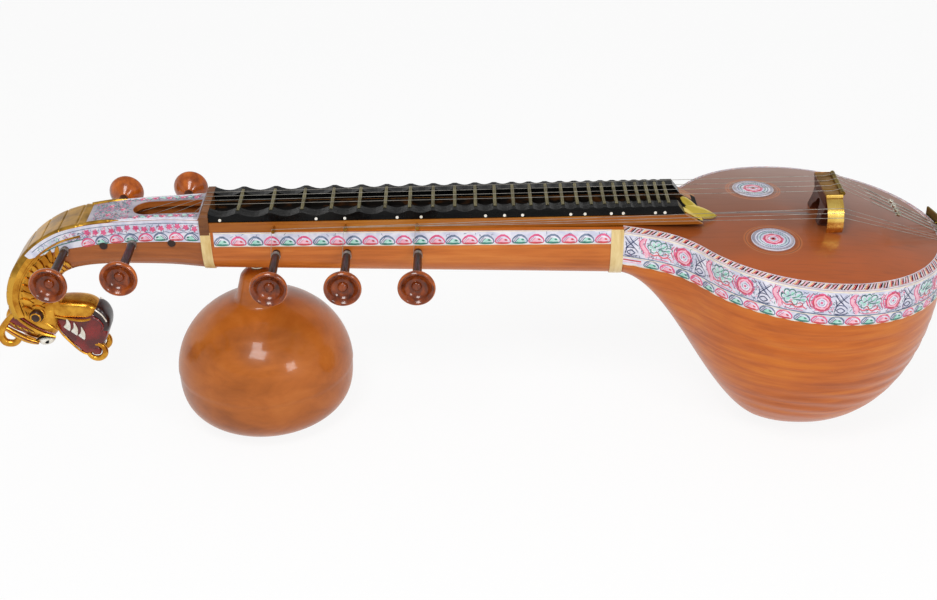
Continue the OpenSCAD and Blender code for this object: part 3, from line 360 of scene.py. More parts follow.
def pillow(heap, outline, half, fullness=3.0, mat=0, y0=0.0, rings=12, around=56, taper=0.0):
    """Rounded block with the given outline in the side view (x, z): half as thick as a superellipse
    of the share of the way out from its middle; taper thins it towards larger x."""
    edge = closed_curve(outline, around)
    mid = edge.mean(0)
    share = np.sin(np.linspace(0, pi / 2, rings))
    share = np.concatenate([share, share[-2::-1]])
    way = np.concatenate([-np.ones(rings), np.ones(rings - 1)])
    xz = mid + share[:, None, None] * (edge - mid)
    thick = half * (1 - taper * (xz[..., 0] - mid[0]) / np.abs(edge[:, 0] - mid[0]).max())
    y = y0 + way[:, None] * thick * full_width(share, fullness)[:, None]
    heap.grid(np.stack([xz[..., 0], y, xz[..., 1]], -1), True, mat)


def put(heap, name, mats, body=ROOT, replaces=(), turn=None, sharp=40, weld=True, solid=True):
    """Makes the object: nut-frame millimetres to the shared frame's metres, doubles merged,
    faces turned outwards, smooth up to the sharp angle."""
    pts = np.concatenate(heap.points)
    if turn is not None:
        pts = pts @ np.array(turn[0]).T + np.array(turn[1])
    pts = (pts + (NUT_X, 0, NUT_Z)) / 1000
    faces = [f for block in heap.faces for f in block.tolist()]
    mesh = bpy.data.meshes.new(name)
    mesh.from_pydata(pts.tolist(), [], faces)
    mesh.polygons.foreach_set("material_index", np.concatenate(heap.mats))
    index = np.empty(len(mesh.loops), int)
    mesh.loops.foreach_get("vertex_index", index)
    layer = mesh.uv_layers.new(name="UVMap")
    layer.data.foreach_set("uv", (np.concatenate(heap.uvs)[index] / 1000).ravel())
    for m in mats:
        mesh.materials.append(m)
    work = bmesh.new()
    work.from_mesh(mesh)
    if weld:
        bmesh.ops.remove_doubles(work, verts=work.verts, dist=2e-6)
        bmesh.ops.dissolve_degenerate(work, edges=work.edges, dist=1e-7)
    if solid:
        bmesh.ops.recalc_face_normals(work, faces=work.faces)
    work.to_mesh(mesh)
    work.free()
    mesh.shade_smooth()
    mesh.set_sharp_from_angle(angle=radians(sharp))
    obj = bpy.data.objects.new(name, mesh)
    bpy.context.scene.collection.objects.link(obj)
    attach(obj, body)
    if replaces:
        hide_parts(*replaces)
    return obj


# Raised ornament on a band: flat shapes drawn in (u, v) millimetres and lifted by the band's map

def leaves(base, angle, length, width, n=12, blunt=0.0):
    """Leaf or petal outlines: along the leaf half a cosine, across it a sine that is drawn to a
    point unless blunt. Arrays of base points, angles in degrees, lengths and widths."""
    base = np.atleast_2d(np.asarray(base, float))
    k = len(base)
    angle, length, width = (np.broadcast_to(np.asarray(q, float), (k,))[:, None] for q in (angle, length, width))
    t = np.linspace(0, 2 * pi, n, endpoint=False)[None]
    x = length * (0.5 - 0.5 * np.cos(t))
    y = width / 2 * np.sin(t) * (blunt + (1 - blunt) * np.abs(np.sin(t)) ** 0.5)
    c, s = np.cos(np.radians(angle)), np.sin(np.radians(angle))
    return np.stack([base[:, :1] + x * c - y * s, base[:, 1:] + x * s + y * c], -1)


def strokes(points, n=9):
    """Brush strokes: Catmull-Rom curves through their few points, all sampled alike."""
    return np.stack([through(q, np.linspace(0, len(q) - 1, n)) for q in points])


def tiled(shapes, step, count, start=0.0, wobble=0.0, seed=1):
    """Repeats shapes along the band; each copy is shifted a little, as handwork is."""
    rng = np.random.default_rng(seed)
    shift = np.zeros((count, 1, 1, 2))
    shift[:, 0, 0, 0] = start + step * np.arange(count)
    shift = shift + rng.normal(0, wobble, (count, 1, 1, 2)) * (1, 0.5)
    s = shapes[None] + shift
    return s.reshape(-1, *shapes.shape[1:])


def lift_shapes(heap, place, outlines, height, mat):
    """Adds filled outlines as low domed pads: rim at the ground, inset top ring, centre point."""
    k, n = outlines.shape[:2]
    centre = outlines.mean(1, keepdims=True)
    top = centre + (outlines - centre) * 0.93
    uv = np.concatenate([outlines, top, centre], 1)
    h = np.concatenate([np.full((k, n), -0.1), np.full((k, n), height), np.full((k, 1), height * 1.25)], 1)
    pts = place(uv[..., 0], uv[..., 1], h)
    m = 2 * n + 1
    j = np.arange(n)
    nxt = (j + 1) % n
    start = (np.arange(k) * m)[:, None, None]
    sides = (np.stack([j, nxt, nxt + n, j + n], -1)[None] + start).reshape(-1, 4)
    fans = (np.stack([j + n, nxt + n, np.full(n, 2 * n)], -1)[None] + start).reshape(-1, 3)
    heap.add(pts, [sides, fans], mat, uv)


def lift_strokes(heap, place, paths, width, height, mat, taper=0.35):
    """Adds curved strokes as low ridges, narrower towards their ends."""
    k, n = paths.shape[:2]
    t = unit(np.gradient(paths, axis=1))
    side = np.stack([-t[..., 1], t[..., 0]], -1)
    along = np.linspace(0, 1, n)[None, :, None]
    w = np.broadcast_to(np.asarray(width, float), (k,))[:, None, None]
    w = w / 2 * (taper + (1 - taper) * np.sin(pi * along) ** 0.5)
    cols = [paths - side * w, paths - side * w * 0.55, paths + side * w * 0.55, paths + side * w]
    uv = np.stack(cols, 2)
    h = np.broadcast_to(np.array([-0.1, height, height, -0.1]), uv.shape[:3])
    pts = place(uv[..., 0], uv[..., 1], h)
    f = quads(n, 4)
    ends = np.array([[0, 1, 2, 3], [4 * n - 1, 4 * n - 2, 4 * n - 3, 4 * n - 4]])
    start = (np.arange(k) * 4 * n)[:, None, None]
    heap.add(pts, (np.concatenate([f, ends])[None] + start).reshape(-1, 4), mat, uv)


def lift_line(heap, place, u0, u1, v, width, height, mat, steps=400, wave=None):
    """Adds one long edge line; wave gives its sideways path."""
    u = np.linspace(u0, u1, steps)
    mid = v + (wave(u) if wave else 0 * u)
    uv = np.stack([np.stack([u, mid + w * width / 2], -1) for w in (-1, -0.6, 0.6, 1)], 1)
    h = np.broadcast_to(np.array([-0.1, height, height, -0.1]), uv.shape[:2])
    heap.add(place(uv[..., 0], uv[..., 1], h), quads(steps, 4), mat, uv)


# Shader nodes

def srgb(text):
    """sRGB hex colour as linear red, green, blue and alpha."""
    c = np.array([int(text[i:i + 2], 16) for i in (1, 3, 5)]) / 255
    lin = np.where(c <= 0.04045, c / 12.92, ((c + 0.055) / 1.055) ** 2.4)
    return (*map(float, lin), 1.0)


def add(tree, kind, sockets=None, stops=None, **settings):
    """Adds one node: settings are its own fields, sockets its inputs as values or links, stops a
    ramp's positions and colours."""
    node = tree.nodes.new(kind)
    for key, value in settings.items():
        setattr(node, key, value)
    for key, value in (sockets or {}).items():
        socket = node.inputs[key]
        if isinstance(value, bpy.types.NodeSocket):
            tree.links.new(value, socket)
        else:
            socket.default_value = value
    if stops:
        ramp = node.color_ramp.elements
        while len(ramp) < len(stops):
            ramp.new(0.5)
        for slot, (at, colour) in zip(ramp, stops):
            slot.position, slot.color = at, srgb(colour) if isinstance(colour, str) else (colour,) * 3 + (1,)
    return node


def stretched(tree, lengths, turn=(0, 0, 0), source="Object"):
    """Object coordinates scaled so that one unit is the given length in millimetres on each axis."""
    coords = add(tree, "ShaderNodeTexCoord")
    scale = tuple(1000 / q for q in lengths)
    return add(tree, "ShaderNodeMapping",
               {"Vector": coords.outputs[source], "Scale": scale, "Rotation": turn}).outputs[0]


def noise(tree, lengths, detail=3.0, rough=0.5, source="Object", warp=0.0):
    """Noise whose blotches have about the given lengths in millimetres."""
    return add(tree, "ShaderNodeTexNoise", {
        "Vector": stretched(tree, lengths, source=source), "Scale": 1.0, "Detail": detail,
        "Roughness": rough, "Distortion": warp}).outputs["Fac"]


def mixed(tree, a, b, fac, blend="MIX"):
    """Mix of two colours by a factor."""
    n = add(tree, "ShaderNodeMix", {0: fac}, data_type="RGBA", blend_type=blend)
    for socket, value in ((n.inputs[6], a), (n.inputs[7], b)):
        if isinstance(value, bpy.types.NodeSocket):
            tree.links.new(value, socket)
        else:
            socket.default_value = value
    return n.outputs[2]


def ramp(tree, fac, *stops):
    """Colour ramp over a factor."""
    return add(tree, "ShaderNodeValToRGB", {"Fac": fac}, stops=stops).outputs["Color"]


def maths(tree, how, a, b=0.0, c=0.0, clamp=False):
    """One arithmetic step."""
    return add(tree, "ShaderNodeMath", {0: a, 1: b, 2: c}, operation=how, use_clamp=clamp).outputs[0]


def bumped(tree, height, strength, distance_mm, under=None):
    """Bump from a height field; distance in millimetres."""
    sockets = {"Height": height, "Strength": strength, "Distance": distance_mm / 1000}
    if under is not None:
        sockets["Normal"] = under
    return add(tree, "ShaderNodeBump", sockets).outputs["Normal"]


def finish_of(name, build):
    """A new material with a Principled surface; build gets its tree and returns its inputs."""
    mat = bpy.data.materials.new(name)
    mat.use_nodes = True
    tree = mat.node_tree
    tree.nodes.clear()
    surface = add(tree, "ShaderNodeBsdfPrincipled", build(tree))
    add(tree, "ShaderNodeOutputMaterial", {"Surface": surface.outputs[0]})
    return mat


def lacquered_jackwood(name, light, mid, dark, along=(90, 5, 5), coat=0.2, rough=0.42, mottle=70, gloss=0.1):
    """Jackwood, planed and brushed with clear lacquer: long grain streaks, slow changes of tone and
    a soft sheen under a glossier coat."""
    def build(tree):
        grain = noise(tree, along, 4, 0.6, warp=0.4)
        tone = noise(tree, (mottle * 1.6, mottle, mottle * 0.8), 2, 0.5)
        fine = noise(tree, (along[0] / 3, along[1] / 6, along[2] / 6), 2, 0.7)
        streak = maths(tree, "MULTIPLY_ADD", grain, 0.6, maths(tree, "MULTIPLY", tone, 0.4))
        colour = ramp(tree, streak, (0.34, dark), (0.5, mid), (0.66, light))
        colour = mixed(tree, colour, srgb(dark), maths(tree, "MULTIPLY", ramp(tree, fine, (0.55, 0.0), (0.8, 1.0)), 0.18))
        return {"Base Color": colour, "Roughness": ramp(tree, tone, (0.3, rough - 0.06), (0.7, rough + 0.06)),
                "Specular IOR Level": 0.22, "Coat Weight": coat, "Coat Roughness": gloss,
                "Normal": bumped(tree, grain, 0.2, 0.1)}
    return finish_of(name, build)


def plate_finish():
    """Jackwood plate under worn lacquer: orange near the player, greyer and pinker at the far side as a
    painted reflection of the room in the lacquer; a plank joint across the tail and a scribed ring round each rosette."""
    def build(tree):
        coords = add(tree, "ShaderNodeTexCoord").outputs["Object"]
        axes = add(tree, "ShaderNodeSeparateXYZ", {"Vector": coords}).outputs
        grain = noise(tree, (180, 6, 6), 4, 0.6, warp=0.3)
        tone = noise(tree, (90, 60, 60), 2)
        # Painted reflection: the colour grades from orange on the player's side to greyer and pinker at the far side,
        # standing in for the room mirrored in the lacquer.
        across = maths(tree, "MULTIPLY_ADD", axes[1], 2.6, maths(tree, "MULTIPLY_ADD", tone, 0.5, 0.22))
        colour = ramp(tree, across, (0.1, "#a84e10"), (0.5, "#824624"), (0.9, "#885a44"))
        colour = mixed(tree, colour, srgb("#6e3818"), ramp(tree, grain, (0.5, 0.0), (0.75, 0.45)))
        dx = maths(tree, "SUBTRACT", axes[0], (ROSE_X + NUT_X) / 1000)
        dy = maths(tree, "SUBTRACT", maths(tree, "ABSOLUTE", axes[1]), ROSE_Y / 1000)
        away = maths(tree, "SQRT", maths(tree, "ADD", maths(tree, "MULTIPLY", dx, dx), maths(tree, "MULTIPLY", dy, dy)))
        ring = maths(tree, "ABSOLUTE", maths(tree, "SUBTRACT", away, 0.0365))
        joint = maths(tree, "ABSOLUTE", maths(tree, "MULTIPLY_ADD", axes[1], 1.0, -0.052))
        line = maths(tree, "MINIMUM", maths(tree, "MULTIPLY", ring, 500.0), maths(tree, "MULTIPLY", joint, 1400.0))
        groove = ramp(tree, line, (0.0, 0.0), (0.7, 1.0))
        edge = ramp(tree, maths(tree, "MULTIPLY", away, 20.0), (0.57, 0.35), (0.66, 1.0))
        colour = mixed(tree, srgb("#b0602a"), colour, ramp(tree, maths(tree, "MULTIPLY", ring, 200.0), (0.3, 0.0), (0.7, 1.0)))
        colour = mixed(tree, srgb("#7c4420"), colour, maths(tree, "MULTIPLY", groove, edge))
        return {"Base Color": colour, "Roughness": ramp(tree, tone, (0.3, 0.3), (0.7, 0.42)),
                "Specular IOR Level": 0.3, "Coat Weight": 0.35, "Coat Roughness": 0.14,
                "Normal": bumped(tree, groove, 0.6, 0.4, bumped(tree, grain, 0.2, 0.12))}
    return finish_of("jackwood_plate_lacquered", build)


def gilded(name, colour, deep, rough=0.28, scale=6):
    """Gold leaf and gold lacquer over carved wood: bright metal with darker, duller patches in broad
    blotches and small burnished unevenness."""
    def build(tree):
        cloud = noise(tree, (scale * 3, scale * 3, scale * 3), 3)
        dents = noise(tree, (scale, scale, scale), 2)
        worn = ramp(tree, cloud, (0.35, 0.0), (0.62, 1.0))
        return {"Base Color": mixed(tree, srgb(deep), srgb(colour), worn), "Metallic": 0.9,
                "Roughness": maths(tree, "MULTIPLY_ADD", cloud, 0.22, rough - 0.1),
                "Normal": bumped(tree, dents, 0.3, 0.5)}
    return finish_of(name, build)


def enamel(name, colour, second, rough=0.35, size=5.0, coat=0.4):
    """Coloured plastic sheet and paint of the inlay: satin, slightly uneven in tone."""
    def build(tree):
        cloud = noise(tree, (size * 2, size * 2, size * 2), 3)
        return {"Base Color": ramp(tree, cloud, (0.38, second), (0.6, colour)),
                "Roughness": maths(tree, "MULTIPLY_ADD", cloud, 0.2, rough - 0.1),
                "Coat Weight": coat, "Coat Roughness": 0.12,
                "Normal": bumped(tree, cloud, 0.15, 0.2)}
    return finish_of(name, build)


def drawn_metal(name, colour, deep, rough, streak=(30, 1.2, 1.2)):
    """Rolled or drawn metal: fine streaks along it and a light tarnish."""
    def build(tree):
        lines = noise(tree, streak, 3, 0.6)
        stain = noise(tree, (18, 18, 18), 3)
        return {"Base Color": mixed(tree, srgb(deep), srgb(colour), ramp(tree, stain, (0.3, 0.2), (0.6, 1.0))),
                "Metallic": 1.0, "Roughness": maths(tree, "MULTIPLY_ADD", lines, 0.24, rough - 0.12),
                "Normal": bumped(tree, lines, 0.12, 0.1)}
    return finish_of(name, build)


def make_finishes():
    """All finishes of the instrument by name."""
    m = {}
    m["bowl"] = lacquered_jackwood("jackwood_bowl_lacquered", "#d07620", "#c06216", "#a64e0c", (150, 60, 9), 0.3, 0.4)
    m["plate"] = plate_finish()
    m["neck"] = lacquered_jackwood("jackwood_neck_lacquered", "#d07c34", "#c26a26", "#a85618", (140, 8, 8), 0.22)
    m["ledge"] = ledge_finish()
    m["board"] = lacquered_jackwood("blackened_board", "#120e0c", "#0c0908", "#070606", (90, 6, 6), 0.0, 0.75)
    m["gourd"] = lacquered_jackwood("dried_gourd_varnished", "#bc6c28", "#ae5e1a", "#944c0c", (60, 60, 30), 0.35, 0.4)
    m["dark"] = lacquered_jackwood("carved_dark_wood", "#4c1f10", "#3a150a", "#260d07", (30, 4, 4), 0.5, 0.4)
    m["nutwood"] = lacquered_jackwood("nut_hardwood", "#8c5a30", "#744622", "#5a3216", (40, 5, 5), 0.2, 0.45)
    m["peg"] = lacquered_jackwood("rosewood_peg_polished", "#c8681c", "#a04c0e", "#602706", (14, 14, 30), 0.5, 0.25, 24, 0.06)
    # Painted shade: the dish is a darker copy of the peg wood, standing for the shade inside the dished face of each
    # head.
    m["dish"] = lacquered_jackwood("rosewood_dish_painted_shade", "#a04a10", "#74300a", "#421805", (10, 10, 20), 0.5, 0.25, 18, 0.06)
    m["shank"] = lacquered_jackwood("rosewood_shank_dark", "#44281a", "#30170e", "#1e0e08", (14, 14, 40), 0.3, 0.35)
    m["white"] = enamel("inlay_sheet_white", "#e2e0ea", "#c6c8dc", 0.38, 6)
    m["sheet"] = enamel("cover_sheet_lilac_grey", "#b4acb6", "#948e9c", 0.38, 14)
    m["slat"] = drawn_metal("bridge_slats_brass", "#a87c3a", "#6e4c1c", 0.32, (30, 1.2, 1.2))
    m["bar"] = drawn_metal("bridge_bar_olive_brass", "#8c7430", "#5a4a1c", 0.35, (30, 1.2, 1.2))
    m["pegwood"] = lacquered_jackwood("jackwood_pegbox_lacquered", "#b46c32", "#a65c26", "#8c4a1a", (140, 8, 8), 0.22)
    m["rim"] = enamel("rim_sheet_rose_grey", "#cfbab6", "#b8a19e", 0.38, 10)
    m["cream"] = enamel("inlay_edge_cream", "#efe3cc", "#dfcfb0", 0.4, 7)
    m["ring"] = lacquered_jackwood("joint_ring_pale_wood", "#ecd8a2", "#dfc68c", "#cdac6a", (8, 30, 40), 0.4, 0.4)
    m["navy"] = enamel("inlay_paint_navy", "#33406e", "#232b50", 0.35, 3)
    m["slate"] = enamel("inlay_paint_slate", "#75839c", "#4f5d78", 0.35, 3)
    m["pink"] = enamel("inlay_paint_pink", "#e0608c", "#cc4676", 0.35, 3)
    m["blush"] = enamel("inlay_paint_blush", "#f0bccb", "#e8a2b8", 0.35, 3)
    m["red"] = enamel("inlay_paint_red", "#d2424a", "#b83040", 0.35, 3)
    m["teal"] = enamel("inlay_paint_teal", "#2e8272", "#1f6658", 0.35, 3)
    m["mint"] = enamel("inlay_paint_mint", "#b4e0d2", "#8fcdbb", 0.35, 3)
    m["beige"] = enamel("inlay_paint_beige", "#e7cd9c", "#d8b67c", 0.35, 3)
    m["gold"] = gilded("gilded_carving", "#dca23a", "#a86a1a", 0.26, 7)
    m["crest"] = gilded("gilded_scales_olive", "#cf9c3c", "#8a6420", 0.3, 9)
    m["leaf"] = gilded("gilded_leaf", "#f0d45a", "#cdb23c", 0.3, 9)
    m["strap"] = drawn_metal("brass_strap_polished", "#f2cf6e", "#cf9c40", 0.24, (1.2, 30, 30))
    m["brass"] = drawn_metal("brass_rolled", "#cfa352", "#8f6a30", 0.3)
    m["bronze"] = drawn_metal("bronze_fret_drawn", "#8f8660", "#5c5438", 0.42, (1.2, 20, 1.2))
    m["steel"] = drawn_metal("steel_wire_drawn", "#b8b4ac", "#86827a", 0.3, (20, 1, 1))
    m["collar"] = drawn_metal("collar_plated", "#cfcabc", "#8d8468", 0.25)
    m["red_paint"] = enamel("mouth_paint_red", "#861410", "#560a08", 0.25, 12, 0.2)
    m["maroon"] = enamel("muzzle_paint_maroon", "#2e0a0a", "#180506", 0.3, 6, 0.12)
    m["tooth"] = enamel("tooth_paint_white", "#f1eee4", "#ddd6c4", 0.3, 6)
    m["dot"] = enamel("position_dot_white", "#f4f2ea", "#e2ddce", 0.35, 4)
    m["wax"] = wax_finish()
    return m


def ledge_finish():
    """Jackwood ledges, lacquered bright outside; their inner faces, towards the trough, are near black in blotches."""
    def build(tree):
        axes = add(tree, "ShaderNodeSeparateXYZ", {"Vector": add(tree, "ShaderNodeTexCoord").outputs["Object"]}).outputs
        grain = noise(tree, (120, 6, 6), 4, 0.6, warp=0.3)
        black_blotches = noise(tree, (24, 10, 10), 2)
        # Faces nearer the middle line than 23.5 mm turn near black in blotches.
        inner = maths(tree, "LESS_THAN", maths(tree, "ABSOLUTE", axes[1]), 0.0235)
        black = maths(tree, "MULTIPLY", inner, ramp(tree, black_blotches, (0.3, 0.8), (0.5, 1.0)))
        colour = ramp(tree, grain, (0.34, "#945010"), (0.5, "#a25e18"), (0.66, "#b07024"))
        return {"Base Color": mixed(tree, colour, srgb("#14100d"), black), "Roughness": 0.42,
                "Specular IOR Level": 0.25, "Coat Weight": 0.2, "Coat Roughness": 0.12,
                "Normal": bumped(tree, grain, 0.2, 0.1)}
    return finish_of("jackwood_ledge_black_inside", build)


def wax_finish():
    """Black fret wax: beeswax blackened with soot, pressed by hand, worn satin with soft dents."""
    def build(tree):
        dents = noise(tree, (9, 9, 9), 3)
        rubbed = noise(tree, (40, 12, 12), 3)
        return {"Base Color": ramp(tree, rubbed, (0.35, "#050607"), (0.65, "#0f0e0d")),
                "Roughness": maths(tree, "MULTIPLY_ADD", rubbed, 0.3, 0.06), "Specular IOR Level": 0.12,
                "Normal": bumped(tree, dents, 0.45, 0.8)}
    return finish_of("fret_wax_black", build)


# Properties, operators and panel

class VeenaSizes(bpy.types.PropertyGroup):
    """Sizes of the surface work that lies on the CAD forms."""

    ridge_height: bpy.props.FloatProperty(
        name="Ridge height", description="Height of the carver's long ridges on the bowl",
        default=0.0008, unit="LENGTH", subtype="DISTANCE")
    ridge_pitch: bpy.props.FloatProperty(
        name="Ridge pitch", description="Distance between the ridges, measured down the bowl",
        default=0.021, unit="LENGTH", subtype="DISTANCE")
    paint_height: bpy.props.FloatProperty(
        name="Paint height", description="How far the painted shapes stand proud of the inlay",
        default=0.0003, unit="LENGTH", subtype="DISTANCE")
    flower_units: bpy.props.IntProperty(
        name="Flower units", description="Repeats of the flower pattern round the bowl", default=12)
    scallop_units: bpy.props.IntProperty(
        name="Scallop units", description="Repeats of the lower border round the bowl", default=27)


class VeenaStage(bpy.types.PropertyGroup):
    """Light and background."""

    world_level: bpy.props.FloatProperty(
        name="World level", description="Strength of the even light from all sides", default=0.5)
    key_power: bpy.props.FloatProperty(
        name="Key power", description="Power of the large soft lamp above the player's side",
        default=36.0, unit="POWER")
    backdrop_colour: bpy.props.FloatVectorProperty(
        name="Backdrop colour", description="Colour of floor and backdrop",
        default=(0.9, 0.9, 0.9), subtype="COLOR")


FINISH = {}


def dress(node_name, finish):
    """Gives a CAD node its finish by its material slots."""
    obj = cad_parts[node_name]
    mat = FINISH[finish]
    if not obj.material_slots:
        obj.data.materials.append(mat)
    for slot in obj.material_slots:
        slot.material = mat


class VEENA_OT_finishes(bpy.types.Operator):
    """Make all finishes and give them to the CAD pieces"""

    bl_idname = "veena.finishes"
    bl_label = "Finishes"

    def execute(self, context):
        FINISH.update(make_finishes())
        table = {
            "ledge": ("ledge_front", "ledge_back"),
            "board": ("neck_cover",),
            "neck": ("neck",),
            "pegwood": ("pegbox",),
            "sheet": ("pegbox_plate",),
            "strap": ("side_bridge",),
            "bowl": ("bowl",),
            "plate": ("top_plate",),
            "wax": ("wax_front", "wax_back"),
            "bronze": ("frets",),
            "dot": ("fret_dots",),
            "nutwood": ("nut",),
            "gold": ("gooseneck", "yali_skull", "yali_snout", "yali_curl", "yali_ears"),
            "leaf": ("ledge_leaves",),
            "crest": ("neck_crest", "drone_posts"),
            "red_paint": ("yali_mouth",),
            "maroon": ("yali_muzzle",),
            "tooth": ("yali_teeth", "yali_eyes"),
            "dark": ("bridge", "yali_knobs"),
            "brass": ("bridge_plate",),
            "bar": ("tailpiece",),
            "steel": ("string_1", "string_2", "string_3", "string_4", "drone_string_1",
                      "drone_string_2", "drone_string_3", "tail_wires", "gourd_screw"),
            "collar": ("gourd_cup", "tuning_bead_1", "tuning_bead_2", "tuning_bead_3", "tuning_bead_4"),
            "ring": ("ring_head", "ring_bowl"),
            "white": ("pegbox_inlays", "neck_inlays", "rim_inlay", "bowl_inlay",
                      "rosette_front", "rosette_back"),
            "peg": ("peg_1", "peg_2", "peg_3", "peg_4", "drone_peg_1", "drone_peg_2", "drone_peg_3"),
            "gourd": ("gourd",),
        }
        for finish, names in table.items():
            for name in names:
                dress(name, finish)
        return {"FINISHED"}


class VEENA_OT_bowl(bpy.types.Operator):
    """Carve the smooth bowl with its long ridges"""

    bl_idname = "veena.bowl"
    bl_label = "Bowl"

    def execute(self, context):
        sizes = context.scene.veena_sizes
        s = np.linspace(0, ROWS, 325)[:, None]
        turn = np.linspace(0, 90, 97)[None]
        x, dx, dy, r = rows(s)
        full = lerp(NECK_FULL, BOWL_FULL, ease((x - NECK_LEN) / 259 * 1.3))
        f = np.sin(np.radians(turn)) ** (2 / full)
        plain = wall(s, f, 0.0, True)
        down = rim_z(x + dx * r) - plain[..., 2]
        # Ridges: sine of the depth, its phase drifting slowly along the bowl, faded at band and foot
        drift = 1.3 * np.sin(s * 0.21 + 0.6) + 0.8 * np.sin(s * 0.47 + down * 0.013)
        strength = (ease((plain[..., 0] - 670) / 110) * ease((down - 54) / 18) * ease((268 - down) / 60)
                    * (0.55 + 0.45 * np.sin(s * 0.33 + down * 0.05)))
        pitch = sizes.ridge_pitch * 1000
        out = sizes.ridge_height * 1000 * strength * (np.sin(2 * pi * down / pitch + drift) - 1)
        outer = wall(s, f, out, True)
        heap = Heap()
        heap.grid(outer)
        bowl = put(heap, "bowl_shell", [FINISH["bowl"]], replaces=["bowl"], solid=False)
        flip_inwards(bowl)
        wall_mod = bowl.modifiers.new("wall", "SOLIDIFY")
        wall_mod.thickness, wall_mod.offset = BOWL_WALL / 1000 * 0.6, -1.0
        return {"FINISHED"}


def flip_inwards(obj):
    """Turns an open shell's faces away from the object's middle."""
    mesh = obj.data
    centres = np.empty(len(mesh.polygons) * 3)
    normals = np.empty(len(mesh.polygons) * 3)
    mesh.polygons.foreach_get("center", centres)
    mesh.polygons.foreach_get("normal", normals)
    c, n = centres.reshape(-1, 3), normals.reshape(-1, 3)
    if ((c - c.mean(0)) * n).sum() < 0:
        mesh.flip_normals()


class VEENA_OT_plate(bpy.types.Operator):
    """Crown the top plate"""

    bl_idname = "veena.plate"
    bl_label = "Top plate"

    def execute(self, context):
        s = np.linspace(0, ROWS, 271)[:, None]
        share = np.linspace(1, 0, 41)[None]
        x, dx, dy, r = rows(s)
        reach = (r - RIM_W - 0.1) * share
        px, py = x + dx * reach, dy * reach
        top = np.stack([px, py, crown_z(px, share) + 0 * px], -1)
        low = np.stack([px, py, rim_z(px)], -1)
        heap = Heap()
        heap.shell(top, low)
        put(heap, "top_plate_crowned", [FINISH["plate"]], replaces=["top_plate"])
        return {"FINISHED"}


class VEENA_OT_rim(bpy.types.Operator):
    """Lay the sloping rim inlay with its slanting strokes"""

    bl_idname = "veena.rim"
    bl_label = "Rim inlay"

    def execute(self, context):
        lift = context.scene.veena_sizes.paint_height * 1000
        s = np.linspace(0, ROWS, 433)
        u = np.interp(s, RIM_ROWS, RIM_LENGTHS)[:, None]
        v = np.linspace(0, RIM_W, 7)[None]
        face = on_rim(u + 0 * v, v + 0 * u, 0 * u + 0 * v)
        x, dx, dy, r = rows(s[:, None])
        under = np.stack([face[..., 0], face[..., 1], rim_z(face[..., 0])], -1)
        heap = Heap()
        heap.shell(face, under)
        names = ["rim", "wax", "red", "bar", "beige", "blush", "white"]
        edge_lines(heap, on_rim, BAND_LEN, ((0.7, 0.9, 6), (RIM_W - 0.6, 0.7, 6)), lift)
        filler(heap, on_rim, 2, BAND_LEN - 2, 2, RIM_W - 2, 330, lift * 0.9, 61, (2, 5, 1))
        pitch = BAND_LEN / 516
        colours = [1, 6, 4, 2, 1, 6, 3, 5]
        for k, mat in enumerate(colours):
            n = 516 // len(colours)
            u0 = (np.arange(n) * len(colours) + k) * pitch
            rng = np.random.default_rng(10 + k)
            lean = rng.normal(0, 0.5, n)
            a = np.stack([u0 + lean, np.full(n, 1.2) + rng.uniform(0, 1.2, n)], -1)
            b = np.stack([u0 + 4.0, np.full(n, 6.0) + 0 * u0], -1)
            c = np.stack([u0 + 8.5 - lean, np.full(n, 11.3) - rng.uniform(0, 1.2, n)], -1)
            lift_strokes(heap, on_rim, strokes(np.stack([a, b, c], 1), 5), rng.uniform(1.3, 2.2, n), lift, mat)
        put(heap, "rim_inlay_strokes", [FINISH[n] for n in names],
            replaces=["rim_inlay"], weld=False)
        return {"FINISHED"}


def edge_lines(heap, place, length, lines, lift, start=0.0):
    """Long border lines at given distances from a band's edge: (v, width, material)."""
    for v, width, mat in lines:
        lift_line(heap, place, start, length, v, width, lift, mat)


BAND_NAMES = ["white", "navy", "slate", "pink", "blush", "red", "teal", "mint", "beige", "cream"]
# HOLE_SHADE is the black used as painted shade for the rosettes' centre hole; the index after it is the cover sheet.
WHITE, NAVY, SLATE, PINK, BLUSH, RED, TEAL, MINT, BEIGE, CREAM, HOLE_SHADE = range(11)


def rose(heap, place, centres, size, lift):
    """Rose: overlapping blush petals, pink petal edges as arcs in three rings, a beige heart."""
    c = np.asarray(centres, float)
    for ring, (count, reach, wide, mat, up) in enumerate((
            (8, 0.5, 0.52, PINK, 0.7), (7, 0.4, 0.42, BLUSH, 1.0), (5, 0.25, 0.28, WHITE, 1.25))):
        a = np.linspace(0, 360, count, endpoint=False) + 25 * ring
        base = np.repeat(c, count, 0) + size * 0.04 * np.tile(
            np.stack([np.cos(np.radians(a)), np.sin(np.radians(a))], -1), (len(c), 1))
        lift_shapes(heap, place, leaves(base, np.tile(a, len(c)), size * reach, size * wide, 10, 0.8), lift * up, mat)
    for reach, count, mat, width in ((0.41, 5, RED, 0.085), (0.28, 4, PINK, 0.07), (0.15, 3, SLATE, 0.05)):
        a = np.linspace(0, 360, count, endpoint=False)[:, None] + np.linspace(0, 300 / count, 4)[None]
        arc = size * reach * np.stack([np.cos(np.radians(a)), np.sin(np.radians(a))], -1)
        paths = (c[:, None, None] + arc[None]).reshape(-1, 4, 2)
        lift_strokes(heap, place, strokes(paths, 7), size * width, lift * 1.7, mat)
    lift_shapes(heap, place, leaves(c - (size * 0.07, 0), 0, size * 0.14, size * 0.14, 10, 1.0), lift * 1.8, PINK)


